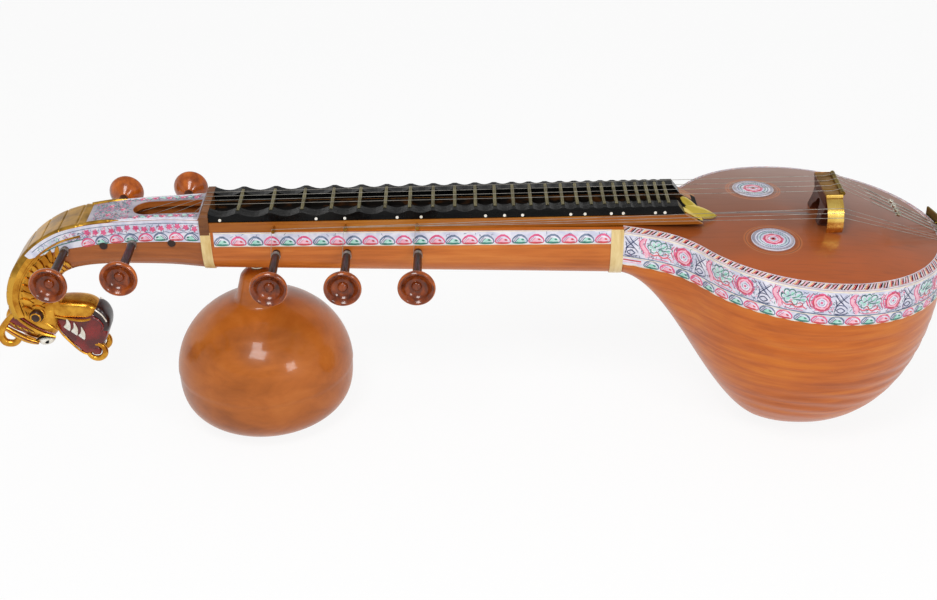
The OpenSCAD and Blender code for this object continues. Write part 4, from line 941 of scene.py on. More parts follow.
def flower_band(heap, place, step, count, lift, start=0.0):
    """One band field of repeating units: crossed straps with a loop, a curled stem, a leaf
    cluster over red curls, and a rose."""
    def many(shapes, wobble=0.25, seed=3):
        return tiled(np.asarray(shapes, float), step, count, start, wobble, seed)
    ground = many(leaves([(0.5, 18)], 0, 21, 36, 16, 1.0), 0)
    lift_shapes(heap, place, ground, lift * 1.0, WHITE)
    straps = many(strokes([
        [(1, 5), (8, 14), (19, 25)], [(7, 4), (13, 12), (20, 17)], [(19, 5), (10, 14), (2, 23)],
        [(2, 12), (4, 20), (2, 31)], [(1, 33), (10, 34), (19, 32)], [(2, 23), (8, 20), (14, 21)]]))
    lift_strokes(heap, place, straps, 2.0, lift * 1.9, NAVY)
    faint = many(strokes([[(3, 5), (10, 14), (20, 28)], [(17, 4), (8, 13), (1, 18)]]))
    lift_strokes(heap, place, faint, 0.9, lift * 1.6, SLATE)
    t = np.radians(np.linspace(0, 360, 5))
    loop = many(strokes([np.stack([10 + 5.5 * np.cos(t), 28 + 3.6 * np.sin(t)], -1)], 13))
    lift_strokes(heap, place, loop, 1.9, lift * 2.0, NAVY, 1.0)
    stem = [[(29, 4), (24, 10), (25, 17), (30, 22), (32, 29), (30, 33)]]
    lift_strokes(heap, place, many(strokes(stem, 15)), 7.2, lift, BLUSH)
    edge = [[(26.5, 4.5), (21.5, 10), (22, 17), (26, 23), (28, 30)],
            [(31, 4), (29, 9), (28.5, 16), (33, 22), (35.5, 30)]]
    lift_strokes(heap, place, many(strokes(edge, 13)), 1.7, lift * 1.6, PINK)
    lobes = [(39, 17, 200, 6, 6), (41, 14, 250, 8, 7), (46, 14, 275, 9, 8), (52, 15, 300, 9, 8),
             (57, 18, 335, 9, 7), (44, 17, 140, 8, 7), (50, 18, 90, 7, 7)]
    q = np.array(lobes, float)
    lift_shapes(heap, place, many(leaves(q[:, :2], q[:, 2], q[:, 3] + 1.8, q[:, 4] + 1.8, 12, 0.5)), lift, TEAL)
    lift_shapes(heap, place, many(leaves(q[:, :2], q[:, 2], q[:, 3] + 0.4, q[:, 4] + 0.2, 12, 0.5)), lift * 1.3, WHITE)
    lift_shapes(heap, place, many(leaves(q[:, :2], q[:, 2] + 8, q[:, 3] * 0.8, q[:, 4] * 0.6, 12, 0.5)), lift * 1.7, MINT)
    vein = [[(40, 16), (46, 12), (50, 8)], [(46, 17), (53, 14), (58, 9)], [(48, 18), (56, 18), (63, 16)]]
    lift_strokes(heap, place, many(strokes(vein, 7)), 1.5, lift * 2.1, TEAL)
    curls = [[(34, 24), (40, 28), (47, 26), (53, 29), (60, 27), (66, 30)],
             [(36, 31), (44, 33), (52, 32.5), (62, 33)], [(42, 24), (45, 22), (48, 24), (46, 27)],
             [(54, 24), (58, 22), (61, 24), (58, 27)]]
    lift_strokes(heap, place, many(strokes([curls[0]], 13)), 3.8, lift, BLUSH)
    lift_strokes(heap, place, many(strokes([curls[0]], 13)), 2.0, lift * 1.7, RED)
    lift_strokes(heap, place, many(strokes([curls[1] ], 9)), 1.3, lift * 1.4, PINK)
    lift_strokes(heap, place, many(strokes(curls[2:], 9)), 1.3, lift * 1.6, RED)
    bud = [[(69, 7), (65, 13), (66, 21), (70, 27)], [(73, 6), (69, 13), (69.5, 21), (74, 28)]]
    lift_strokes(heap, place, many(strokes(bud, 9)), 2.0, lift * 1.3, PINK)
    small = [[(36, 6), (40, 4.5), (44, 6)], [(60, 5), (64, 7), (67, 5)], [(92, 5), (96, 9), (99, 6)],
             [(97, 14), (94, 20), (98, 26)], [(93, 28), (96, 31), (99, 29)], [(63, 21), (60, 23), (57, 21)],
             [(74, 32), (80, 33.5), (88, 32)]]
    lift_strokes(heap, place, many(strokes(small, 7)), 1.3, lift * 1.3, SLATE)
    centre = tiled(np.array([[[84.0, 18.0]]]), step, count, start, 0.4, 5)[:, 0]
    rose(heap, place, centre, 26.0, lift)


def domes(base, long, high, n=14):
    """Half-moon outlines: a shallow curve below and a steeper dome above its left half."""
    t = np.linspace(0, 2 * pi, n, endpoint=False)
    x = long * (0.5 - 0.5 * np.cos(t))
    up = np.where(np.sin(t) > 0, 0.34 * np.abs(np.sin(t)) ** 0.8, -0.66 * np.abs(np.sin(t)) ** 0.75)
    lean = np.where(up < 0, 1 - 0.25 * np.cos(2 * t), 1.0)
    return np.asarray(base, float)[:, None] + np.stack([x, high * up * lean], -1)[None]


def scallop_border(heap, place, v0, high, step, count, start, lift):
    """Border of half-moon pads: mint over teal and blush over red in turn, each with slanting dark
    strokes at its left, a bright rim below and a spot at its right."""
    def many(shapes, seed=4):
        return tiled(np.asarray(shapes, float), step, count, start, 0.25, seed)
    k, half, mid = high / 13.0, step / 2, v0 + high * 0.66
    for kind, (rim, fill, dark, spot) in enumerate(((TEAL, MINT, NAVY, TEAL), (RED, BLUSH, PINK, RED))):
        u = kind * half
        lift_shapes(heap, place, many(domes([(u - 0.2, mid)], half + 0.4, high)), lift * 0.8, SLATE if kind == 0 else PINK)
        lift_shapes(heap, place, many(domes([(u + 1.2, mid + 0.1 * k)], half - 2.4, high * 0.74)), lift * 1.0, WHITE)
        lift_shapes(heap, place, many(leaves([(u + 1.0, mid + 2.3 * k)], 0, half - 2.0, 3.4 * k, 14, 0.6)), lift * 1.4, rim)
        lift_shapes(heap, place, many(domes([(u + 6.2, mid - 0.4 * k)], half - 9.4, high * 0.4)), lift * 1.8, fill)
        slants = [[(u + 2.2, mid + 1.6 * k), (u + 4.6, mid - 2.4 * k), (u + 8.4, mid - 6.4 * k)],
                  [(u + 4.6, mid + 1.4 * k), (u + 7.2, mid - 2 * k), (u + 10.4, mid - 5 * k)]]
        lift_strokes(heap, place, many(strokes(slants, 6)), 1.1, lift * 2.3, dark)
        lift_strokes(heap, place, many(strokes([[(u + 11, mid + 1.2 * k), (u + 14, mid - 0.4 * k), (u + 18, mid - 0.2 * k)]], 5)),
                     0.9, lift * 2.3, WHITE)
        lift_shapes(heap, place, many(leaves([(u + 13, mid - 3 * k)], 20, 4.4, 2.8 * k, 8, 0.9)), lift * 2.3, spot)


def filler(heap, place, u0, u1, v0, v1, count, lift, seed, mats=(NAVY, SLATE, TEAL, PINK, SLATE), keep=None):
    """Small curved strokes and buds strewn between the motifs, seeded; keep tells which to keep."""
    rng = np.random.default_rng(seed)
    for mat in mats:
        at = np.stack([rng.uniform(u0, u1, count), rng.uniform(v0, v1, count)], -1)
        if keep:
            at = at[keep(at[:, 0], at[:, 1])]
        if not len(at):
            continue
        turn = rng.uniform(0, 2 * pi, len(at))
        long = rng.uniform(1.4, 3.0, len(at))
        ahead = np.stack([np.cos(turn), np.sin(turn)], -1) * long[:, None]
        aside = np.stack([-ahead[:, 1], ahead[:, 0]], -1) * rng.uniform(-0.6, 0.6, (len(at), 1))
        lift_strokes(heap, place, strokes(np.stack([at - ahead, at + aside, at + ahead], 1), 5), 0.95, lift, mat)


class VEENA_OT_bowl_band(bpy.types.Operator):
    """Wrap the flower band round the bowl"""

    bl_idname = "veena.bowl_band"
    bl_label = "Bowl band"

    def execute(self, context):
        sizes = context.scene.veena_sizes
        lift = sizes.paint_height * 1000
        u = np.linspace(0, BAND_LEN, 700)[:, None]
        v = np.linspace(0, 1, 13)[None]
        step = BAND_LEN / sizes.scallop_units
        # Lower edge in shallow scallops, two to a unit
        low = BAND_H - 1.6 + 1.4 * np.abs(np.sin(2 * pi * (u + 6) / step))
        heap = Heap()
        heap.shell(on_band(u + 0 * v, v * low, 0 * u * v), on_band(u + 0 * v, v * low, -INLAY_T + 0 * u * v))
        edge_lines(heap, on_band, BAND_LEN, ((1.2, 1.8, CREAM), (35.2, 1.8, SLATE), (37.0, 1.2, CREAM)), lift)
        lift_line(heap, on_band, 0, BAND_LEN, BAND_H - 2.4, 1.2, lift, CREAM, 700,
                  lambda w: 1.4 * np.abs(np.sin(2 * pi * (w + 6) / step)))
        filler(heap, on_band, 3, BAND_LEN - 3, 3.5, 33.5, 430, lift * 0.8, 21)
        flower_band(heap, on_band, BAND_LEN / sizes.flower_units, sizes.flower_units, lift)
        scallop_border(heap, on_band, 37.2, 12.6, step, sizes.scallop_units - 1, 28.0, lift)
        lift_line(heap, on_band, 0.5, 25, 41, 2.6, lift, RED, 30)
        lift_line(heap, on_band, 0.5, 26, 44.4, 1.6, lift, BLUSH, 30)
        put(heap, "bowl_band_flowers", [FINISH[n] for n in BAND_NAMES],
            replaces=["bowl_inlay"], weld=False)
        return {"FINISHED"}


class VEENA_OT_rosettes(bpy.types.Operator):
    """Turn the two sound rosettes"""

    bl_idname = "veena.rosettes"
    bl_label = "Rosettes"

    def execute(self, context):
        lift = context.scene.veena_sizes.paint_height * 1000
        for side, name in ((-1, "front"), (1, "back")):
            g = ROSE_Y / float(bowl_w(np.array(ROSE_X)))
            lean = -side * atan2(2 * CROWN_H * g, float(bowl_w(np.array(ROSE_X))))
            rise = float(crown_z(np.array(ROSE_X + 1), g) - crown_z(np.array(ROSE_X - 1), g)) / 2
            turn = Matrix.Rotation(-atan2(rise, 1), 3, "Y") @ Matrix.Rotation(lean, 3, "X")
            origin = (ROSE_X, side * ROSE_Y, float(crown_z(np.array(ROSE_X), g)))

            def flat(u, v, h):
                return np.stack([u + 0 * h, v + 0 * h, 0.8 + h + 0 * u], -1)
            heap = Heap()
            r = ROSE_R
            heap.turned([(0, -4), (r, -4), (r, 0.4), (r - 0.5, 0.8), (r - 5, 0.8), (r - 5.6, 0.35),
                         (r - 6.6, 0.35), (r - 7.2, 0.8), (0, 0.8)], 96)
            heap.turned([(r - 4.9, 0.7), (r - 4.9, 0.92), (r - 0.7, 0.92), (r - 0.7, 0.7)], 96, HOLE_SHADE + 1)
            for reach, n, mat, length, width in (
                    (r - 8.4, 44, SLATE, 3.4, 1.3), (r - 12.2, 34, NAVY, 2.8, 1.1), (r - 11.0, 30, MINT, 3.2, 1.0),
                    (r - 2.8, 36, SLATE, 3.0, 0.8)):
                a = np.linspace(0, 360, n, endpoint=False)
                at = reach * np.stack([np.cos(np.radians(a)), np.sin(np.radians(a))], -1)
                lift_shapes(heap, flat, leaves(at, a + 70, length, width, 8, 0.9), lift, mat)
            rose(heap, flat, np.array([[0.0, 0.0]]), 27.0, lift)
            lift_shapes(heap, flat, leaves([(-3.4, 0)], 0, 6.8, 6.8, 20, 1.0), lift * 2.2, RED)
            # A black disc, painted shade, stands for the small sound hole in the middle of the rosette.
            lift_shapes(heap, flat, leaves([(-1.7, 0)], 0, 3.4, 3.4, 16, 1.0), lift * 2.8, HOLE_SHADE)
            put(heap, "rosette_" + name + "_painted", [FINISH[n] for n in (*BAND_NAMES, "wax", "sheet")],
                replaces=["rosette_" + name], turn=(turn, origin), weld=False)
        return {"FINISHED"}


class VEENA_OT_neck(bpy.types.Operator):
    """Shape the neck trough, its two bands and its joint rings"""

    bl_idname = "veena.neck"
    bl_label = "Neck"

    def execute(self, context):
        lift = context.scene.veena_sizes.paint_height * 1000
        a = np.radians(np.linspace(-90, 90, 81))[None]
        side = np.sign(np.sin(a)) + (a == 0)
        f = np.cos(a) ** (2 / NECK_FULL)

        def trough(x0, x1, out, depth, steps):
            x = np.linspace(x0, x1, steps)[:, None]
            half = (neck_w(x) + out) * np.abs(np.sin(a)) ** (2 / NECK_FULL)
            outer = np.stack([x + 0 * a, np.sign(a) * half, TOP_Z - (neck_d(x) + out) * f], -1)
            half = (neck_w(x) - depth) * np.abs(np.sin(a)) ** (2 / NECK_FULL)
            inner = np.stack([x + 0 * a, np.sign(a) * half, TOP_Z - (neck_d(x) - depth) * f], -1)
            return outer, inner
        heap = Heap()
        heap.shell(*trough(-NECK_BEHIND, NECK_LEN, 0, 9, 60))
        put(heap, "neck_trough", [FINISH["neck"]], replaces=["neck"])
        for name, x0, x1 in (("head", -NECK_BEHIND, NUT_FRONT + 1), ("bowl", NECK_LEN - RING_W, NECK_LEN)):
            heap = Heap()
            heap.shell(*trough(x0, x1, RING_T, 0, 4))
            ring = put(heap, "ring_" + name + "_smooth", [FINISH["ring"]], replaces=["ring_" + name])
            soften(ring, 0.3)
        heap = Heap()
        x0, x1 = NUT_FRONT + 5, NECK_LEN - RING_W
        u = np.linspace(x0, x1, 340)[:, None]
        v = np.linspace(0, 1, 7)[None]
        low = NECK_BAND - 0.4
        for way in (-1, 1):
            place = on_neck(way)
            heap.shell(place(u + 0 * v, v * low + 0 * u, 0 * u * v), place(u + 0 * v, v * low + 0 * u, 0 * u * v - INLAY_T))
            edge_lines(heap, place, x1, ((0.9, 1.3, CREAM), (NECK_BAND - 1.2, 1.2, CREAM)), lift, x0)
            count = 12
            filler(heap, place, x0 + 4, x1 - 4, 3, 8, 26, lift * 0.8, 31, (SLATE, WHITE))
            scallop_border(heap, place, 7.0, 13.6, (x1 - x0) / count, count, x0, lift)
        put(heap, "neck_bands_painted", [FINISH[n] for n in BAND_NAMES],
            replaces=["neck_inlays"], weld=False)
        return {"FINISHED"}


def soften(obj, radius_mm, angle=40):
    """Rounds an object's sharp edges with a small bevel."""
    bevel = obj.modifiers.new("edges", "BEVEL")
    bevel.width, bevel.segments = radius_mm / 1000, 2
    bevel.limit_method, bevel.angle_limit = "ANGLE", radians(angle)
    return obj


class VEENA_OT_brass(bpy.types.Operator):
    """Form the slatted brass bridge plate, and the two gilded leaves on the ledges' toes"""

    bl_idname = "veena.brass"
    bl_label = "Bridge plate and leaves"

    def execute(self, context):
        y = np.linspace(-37.3, 37.3, 300)[None]
        x = 840 + 24.2 * np.array([0, 0.02, 0.06, 0.5, 0.86, 0.9])[:, None]
        # Slats across the plate: flat bars parted by shallow sunk strips
        slat = ease((np.cos(2 * pi * y / 14.9) + 0.45) * 2)
        edge = np.array([0, 0, 1, 1, 1, 0])[:, None]
        top = 8.0 - 1.0 * (1 - slat) * edge - 0.25 * (1 - edge) + 0 * x
        heap = Heap()
        heap.shell(np.stack([x + 0 * y, y + 0 * x, top], -1), np.stack([x + 0 * y, y + 0 * x, 5.1 + 0 * top], -1))
        for way in (-1, 1):
            u, t = np.linspace(841, 863.6, 12)[:, None], np.linspace(0, 1, 7)[None]
            high = 8.1 - 4.4 * t
            out = way * (37.3 + 0.9 * np.sin(pi * np.minimum(1, t * 1.4) / 2))
            heap.shell(np.stack([u + 0 * t, out + 0 * u, high + 0 * u], -1),
                       np.stack([u + 0 * t, out - way * 0.8 + 0 * u, high + 0 * u], -1), 1)
        a = np.linspace(0, 1, 60)
        bar = np.stack([863.9 + 0 * a, 68 * (a - 0.5), 8.5 + 0 * a], -1)
        heap.tube(bar, 3.2 - 0.12 * np.cos(a * 2 * pi * 16) * (np.abs(a - 0.5) < 0.47), 20, 2)
        put(heap, "bridge_plate_slatted", [FINISH[n] for n in ("slat", "strap", "bar")],
            replaces=["bridge_plate"], sharp=35)
        heap = Heap()
        for base, tip, side, width in (
                ((651, -3, -11.5), (674, -2, -23), (0.3, -0.85, -0.43), 22),
                ((655, -22, -15), (699, -15, -30.5), (0.25, -0.9, -0.36), 22)):
            base, tip, side = (np.array(q, float) for q in (base, tip, side))
            t, w = np.linspace(0, 1, 25)[:, None, None], np.linspace(-1, 1, 13)[None, :, None]
            across = width / 2 * np.sin(pi * (0.08 + 0.92 * t)) ** 0.75
            vein = 0.5 * np.exp(-((w / 0.12) ** 2)) + 0.16 * np.abs(np.sin((t * 7 + np.abs(w) * 1.5) * pi))
            arch = (2.4 * (1 - w * w) * np.sin(pi * t) - vein * np.sin(pi * t)) * (0, 0, 1)
            face = lerp(base, tip, t) + side * across * w + arch
            heap.shell(face, face - (0, 0, 1.0))
        # Gold leaf laid on the near ledge's slanting toe
        t, w = np.linspace(0, 1, 20)[:, None, None], np.linspace(0, 1, 9)[None, :, None]
        toe = lerp(np.array([650.6, 0, -12.6]), np.array([676.5, 0, -27.7]), t) + lerp(-37.2, -23.6, w) * np.array([0, 1, 0])
        heap.shell(toe + (0.5, 0, 0.5), toe)
        put(heap, "ledge_leaves_chased", [FINISH["leaf"]], replaces=["ledge_leaves"])
        return {"FINISHED"}


class VEENA_OT_pegbox(bpy.types.Operator):
    """Lay the pegbox bands, its cover's ornament, and sweep the gilded gooseneck with its crest"""

    bl_idname = "veena.pegbox"
    bl_label = "Pegbox and gooseneck"

    def execute(self, context):
        lift = context.scene.veena_sizes.paint_height * 1000
        self.bands(lift)
        self.cover(lift)
        heap = Heap()
        s = np.linspace(5.5, 10, 91)[:, None]
        a = np.radians(np.linspace(-90, 90, 49))[None]
        f = np.cos(a) ** (2 / SPINE_FULL)
        p, q = through(SPINE_TOP, s[:, 0])[:, None], through(SPINE_UNDER, s[:, 0])[:, None]
        half = through(SPINE_W, s[:, 0])[:, None] * np.abs(np.sin(a)) ** (2 / SPINE_FULL)
        g = np.stack([lerp(p[..., 0], q[..., 0], f), np.sign(a) * half, lerp(p[..., 1], q[..., 1], f)], -1)
        heap.grid(np.concatenate([g, g[:, :1]], 1))
        for row in (0, -1):
            ring = np.arange(g.shape[1])
            cap = np.concatenate([g[row], g[row].mean(0)[None]])
            heap.add(cap, np.stack([ring, np.roll(ring, -1), np.full(len(ring), len(ring))], -1))
        self.flames(heap)
        put(heap, "gooseneck_smooth", [FINISH["gold"], FINISH["crest"]], replaces=["gooseneck"], sharp=50)
        self.crest()
        return {"FINISHED"}

    def bands(self, lift):
        """Two tiers: pale petals above a dark wavy line, half-moon pads below, a slate-blue tip."""
        heap = Heap()
        end = float(np.interp(6.5, SPINE_U, SPINE_LENGTHS))
        u = np.linspace(0, end, 240)[:, None]
        v = np.linspace(0, 1, 9)[None]
        step = 42.0

        def low(u):
            tip = 1 - np.clip((u - end + 30) / 30, 0, 1) ** 2
            return (band_depth(u) - 3) * np.sqrt(np.maximum(0.02, tip)) + 3

        for way in (-1, 1):
            place = on_pegbox(way)
            drop = lerp(-3.7, low(u), v)
            heap.shell(place(u + 0 * v, drop, 0 * drop), place(u + 0 * v, drop, 0 * drop - INLAY_T))
            edge_lines(heap, place, end - 12, ((0.9, 1.3, SLATE),), lift * 0.6)
            lift_line(heap, place, 2, end - 60, 14.5, 1.2, lift, SLATE, 300, lambda w: 0.9 * np.sin(w * 0.5))
            lift_line(heap, place, end - 95, end - 14, 15.5, 1.6, lift, TEAL, 120, lambda w: -0.0009 * (w - end + 95) ** 2)
            filler(heap, place, 3, end - 70, 3, 13, 70, lift * 0.9, 41, (SLATE, PINK, SLATE, WHITE))
            filler(heap, place, end - 90, end - 20, 3, 14, 22, lift * 0.7, 43, (SLATE, MINT))
            petals = np.stack([np.arange(7, end - 95, 11.5), 7.5 + 2.2 * np.sin(np.arange(7, end - 95, 11.5))], -1)
            for turn in (20, 92, 164, 236, 308):
                lift_shapes(heap, place, leaves(petals, turn, 4.6, 3.2, 8, 0.8), lift * 1.2, PINK if turn % 72 == 20 else BLUSH)
            scallop_border(heap, place, 15.5, 12.5, step, 4, 2.0, lift)
        put(heap, "pegbox_bands_painted", [FINISH[n] for n in BAND_NAMES],
            replaces=["pegbox_inlays"], weld=False)

    def cover(self, lift):
        """Flowers and strokes painted on the cover plate, clear of the string opening."""
        def place(u, v, h):
            s = np.interp(u, SPINE_LENGTHS, SPINE_U)
            top = through(SPINE_TOP, s)
            return np.stack([top[..., 0] + 0 * v, v + 0 * u, top[..., 1] + 1.0 + h + 0 * v], -1)

        def clear(u, v):
            wide = through(SPINE_W, np.interp(u, SPINE_LENGTHS, SPINE_U)) - 7 - 9 * ease((np.interp(u, SPINE_LENGTHS, SPINE_U) - 3) / 2)
            return (np.abs(v) < wide) & ((u > 100) | (np.abs(v) > 23))
        heap = Heap()
        u = np.linspace(2, 133, 60)[:, None]
        s = np.interp(u, SPINE_LENGTHS, SPINE_U)
        for way in (-1, 1):
            w = way * (through(SPINE_W, s) - lerp(7.4, -0.7, np.linspace(0, 1, 5)[None]))
            fall = np.array([0, 0, 0, -0.5, -2.6])[None] + 0 * w
            heap.shell(place(u, w, fall), place(u, w * 0.995, fall - 1.1))
        filler(heap, place, 4, 150, -34, 34, 330, lift * 0.9, 51, (SLATE, TEAL, SLATE, PINK), clear)
        side = np.array([(u, w) for u in range(12, 90, 19) for w in (-28.5, 28.5)] + [(110, 0), (128, -13), (128, 13)], float)
        for turn in (0, 72, 144, 216, 288):
            lift_shapes(heap, place, leaves(side, turn, 4.2, 3.0, 8, 0.8), lift * 1.3, BLUSH if turn % 144 else PINK)
        lift_shapes(heap, place, leaves(side - (1.4, 0), 0, 2.8, 2.8, 8, 1.0), lift * 1.6, RED)
        between = np.array([(u, w) for u in range(21, 90, 19) for w in (-28.5, 28.5)], float)
        lift_shapes(heap, place, leaves(between - (3.5, 0), 15, 8, 4.6, 10, 0.7), lift * 1.2, MINT)
        put(heap, "pegbox_cover_flowers", [FINISH[n] for n in BAND_NAMES], weld=False)

    def flames(self, heap):
        """Carved flame leaves on both cheeks of the gooseneck, between band and crest."""
        total = SPINE_LENGTHS[-1]
        for way in (-1, 1):
            place = on_pegbox(way)
            u = np.linspace(total - 168, total - 22, 11)
            for v, turn, long, high in ((19, 58, 21, 2.2), (33, 72, 19, 1.8), (46, 100, 15, 1.4)):
                at = np.stack([u + v * 0.1, np.full(len(u), float(v)) - 6], -1)
                lift_shapes(heap, place, leaves(at, turn + 12 * np.sin(u), long, 8.5, 14, 0.4), high, 0)
            lift_line(heap, place, total - 205, total - 2, 10.0, 3.0, 1.4, 0, 160)
            lift_line(heap, place, total - 150, total - 2, 15.0, 1.4, 0.9, 1, 160)

    def crest(self):
        """Smooth ribbed back: plates along the outer curve parted by thin grooves, its sides lapping
        down over the cheeks; the profile across is a flat superellipse."""
        heap = Heap()
        s = np.linspace(3.5, 10, 391)[:, None]
        t = np.linspace(-1, 1, 33)[None]
        top = through(SPINE_TOP, s[:, 0])
        way = unit(np.gradient(top, axis=0))
        out = np.stack([way[:, 1], -way[:, 0]], -1)[:, None]
        joints = 4.0 + 0.75 * np.arange(9)
        groove = np.exp(-(((s - joints) / 0.028) ** 2)).sum(1, keepdims=True)
        rise = np.minimum(1, (s - 3.5) * 2.5)
        half = through(SPINE_W, s[:, 0])[:, None] + 0.5
        lip = np.maximum(0, np.abs(t) - 0.86) / 0.14
        height = (3.0 * rise - 1.3 * groove) * (1 - lip**2) - 5.0 * lip
        y = half * np.minimum(1, np.abs(t) / 0.93) * np.sign(t)
        upper = np.stack([top[:, None, 0] + out[..., 0] * height, y + 0 * s, top[:, None, 1] + out[..., 1] * height], -1)
        down = np.minimum(height, 0) - 1.2
        lower = np.stack([top[:, None, 0] + out[..., 0] * down, y * 0.97, top[:, None, 1] + out[..., 1] * down], -1)
        heap.shell(upper, lower)
        # Gilded rails run on along both edges of the cover
        s = np.linspace(2.35, 3.7, 60)
        for way in (-1, 1):
            path = through(SPINE_TOP, s)
            wide = through(SPINE_W, s) - 3.4
            q = np.stack([path[:, 0], way * wide, path[:, 1] + 0.4], -1)
            heap.tube(q, 3.2 * np.minimum(1, 0.35 + (s - 2.35) * 1.6), 10)
        put(heap, "gooseneck_crest", [FINISH["crest"]], replaces=["neck_crest"], sharp=60)


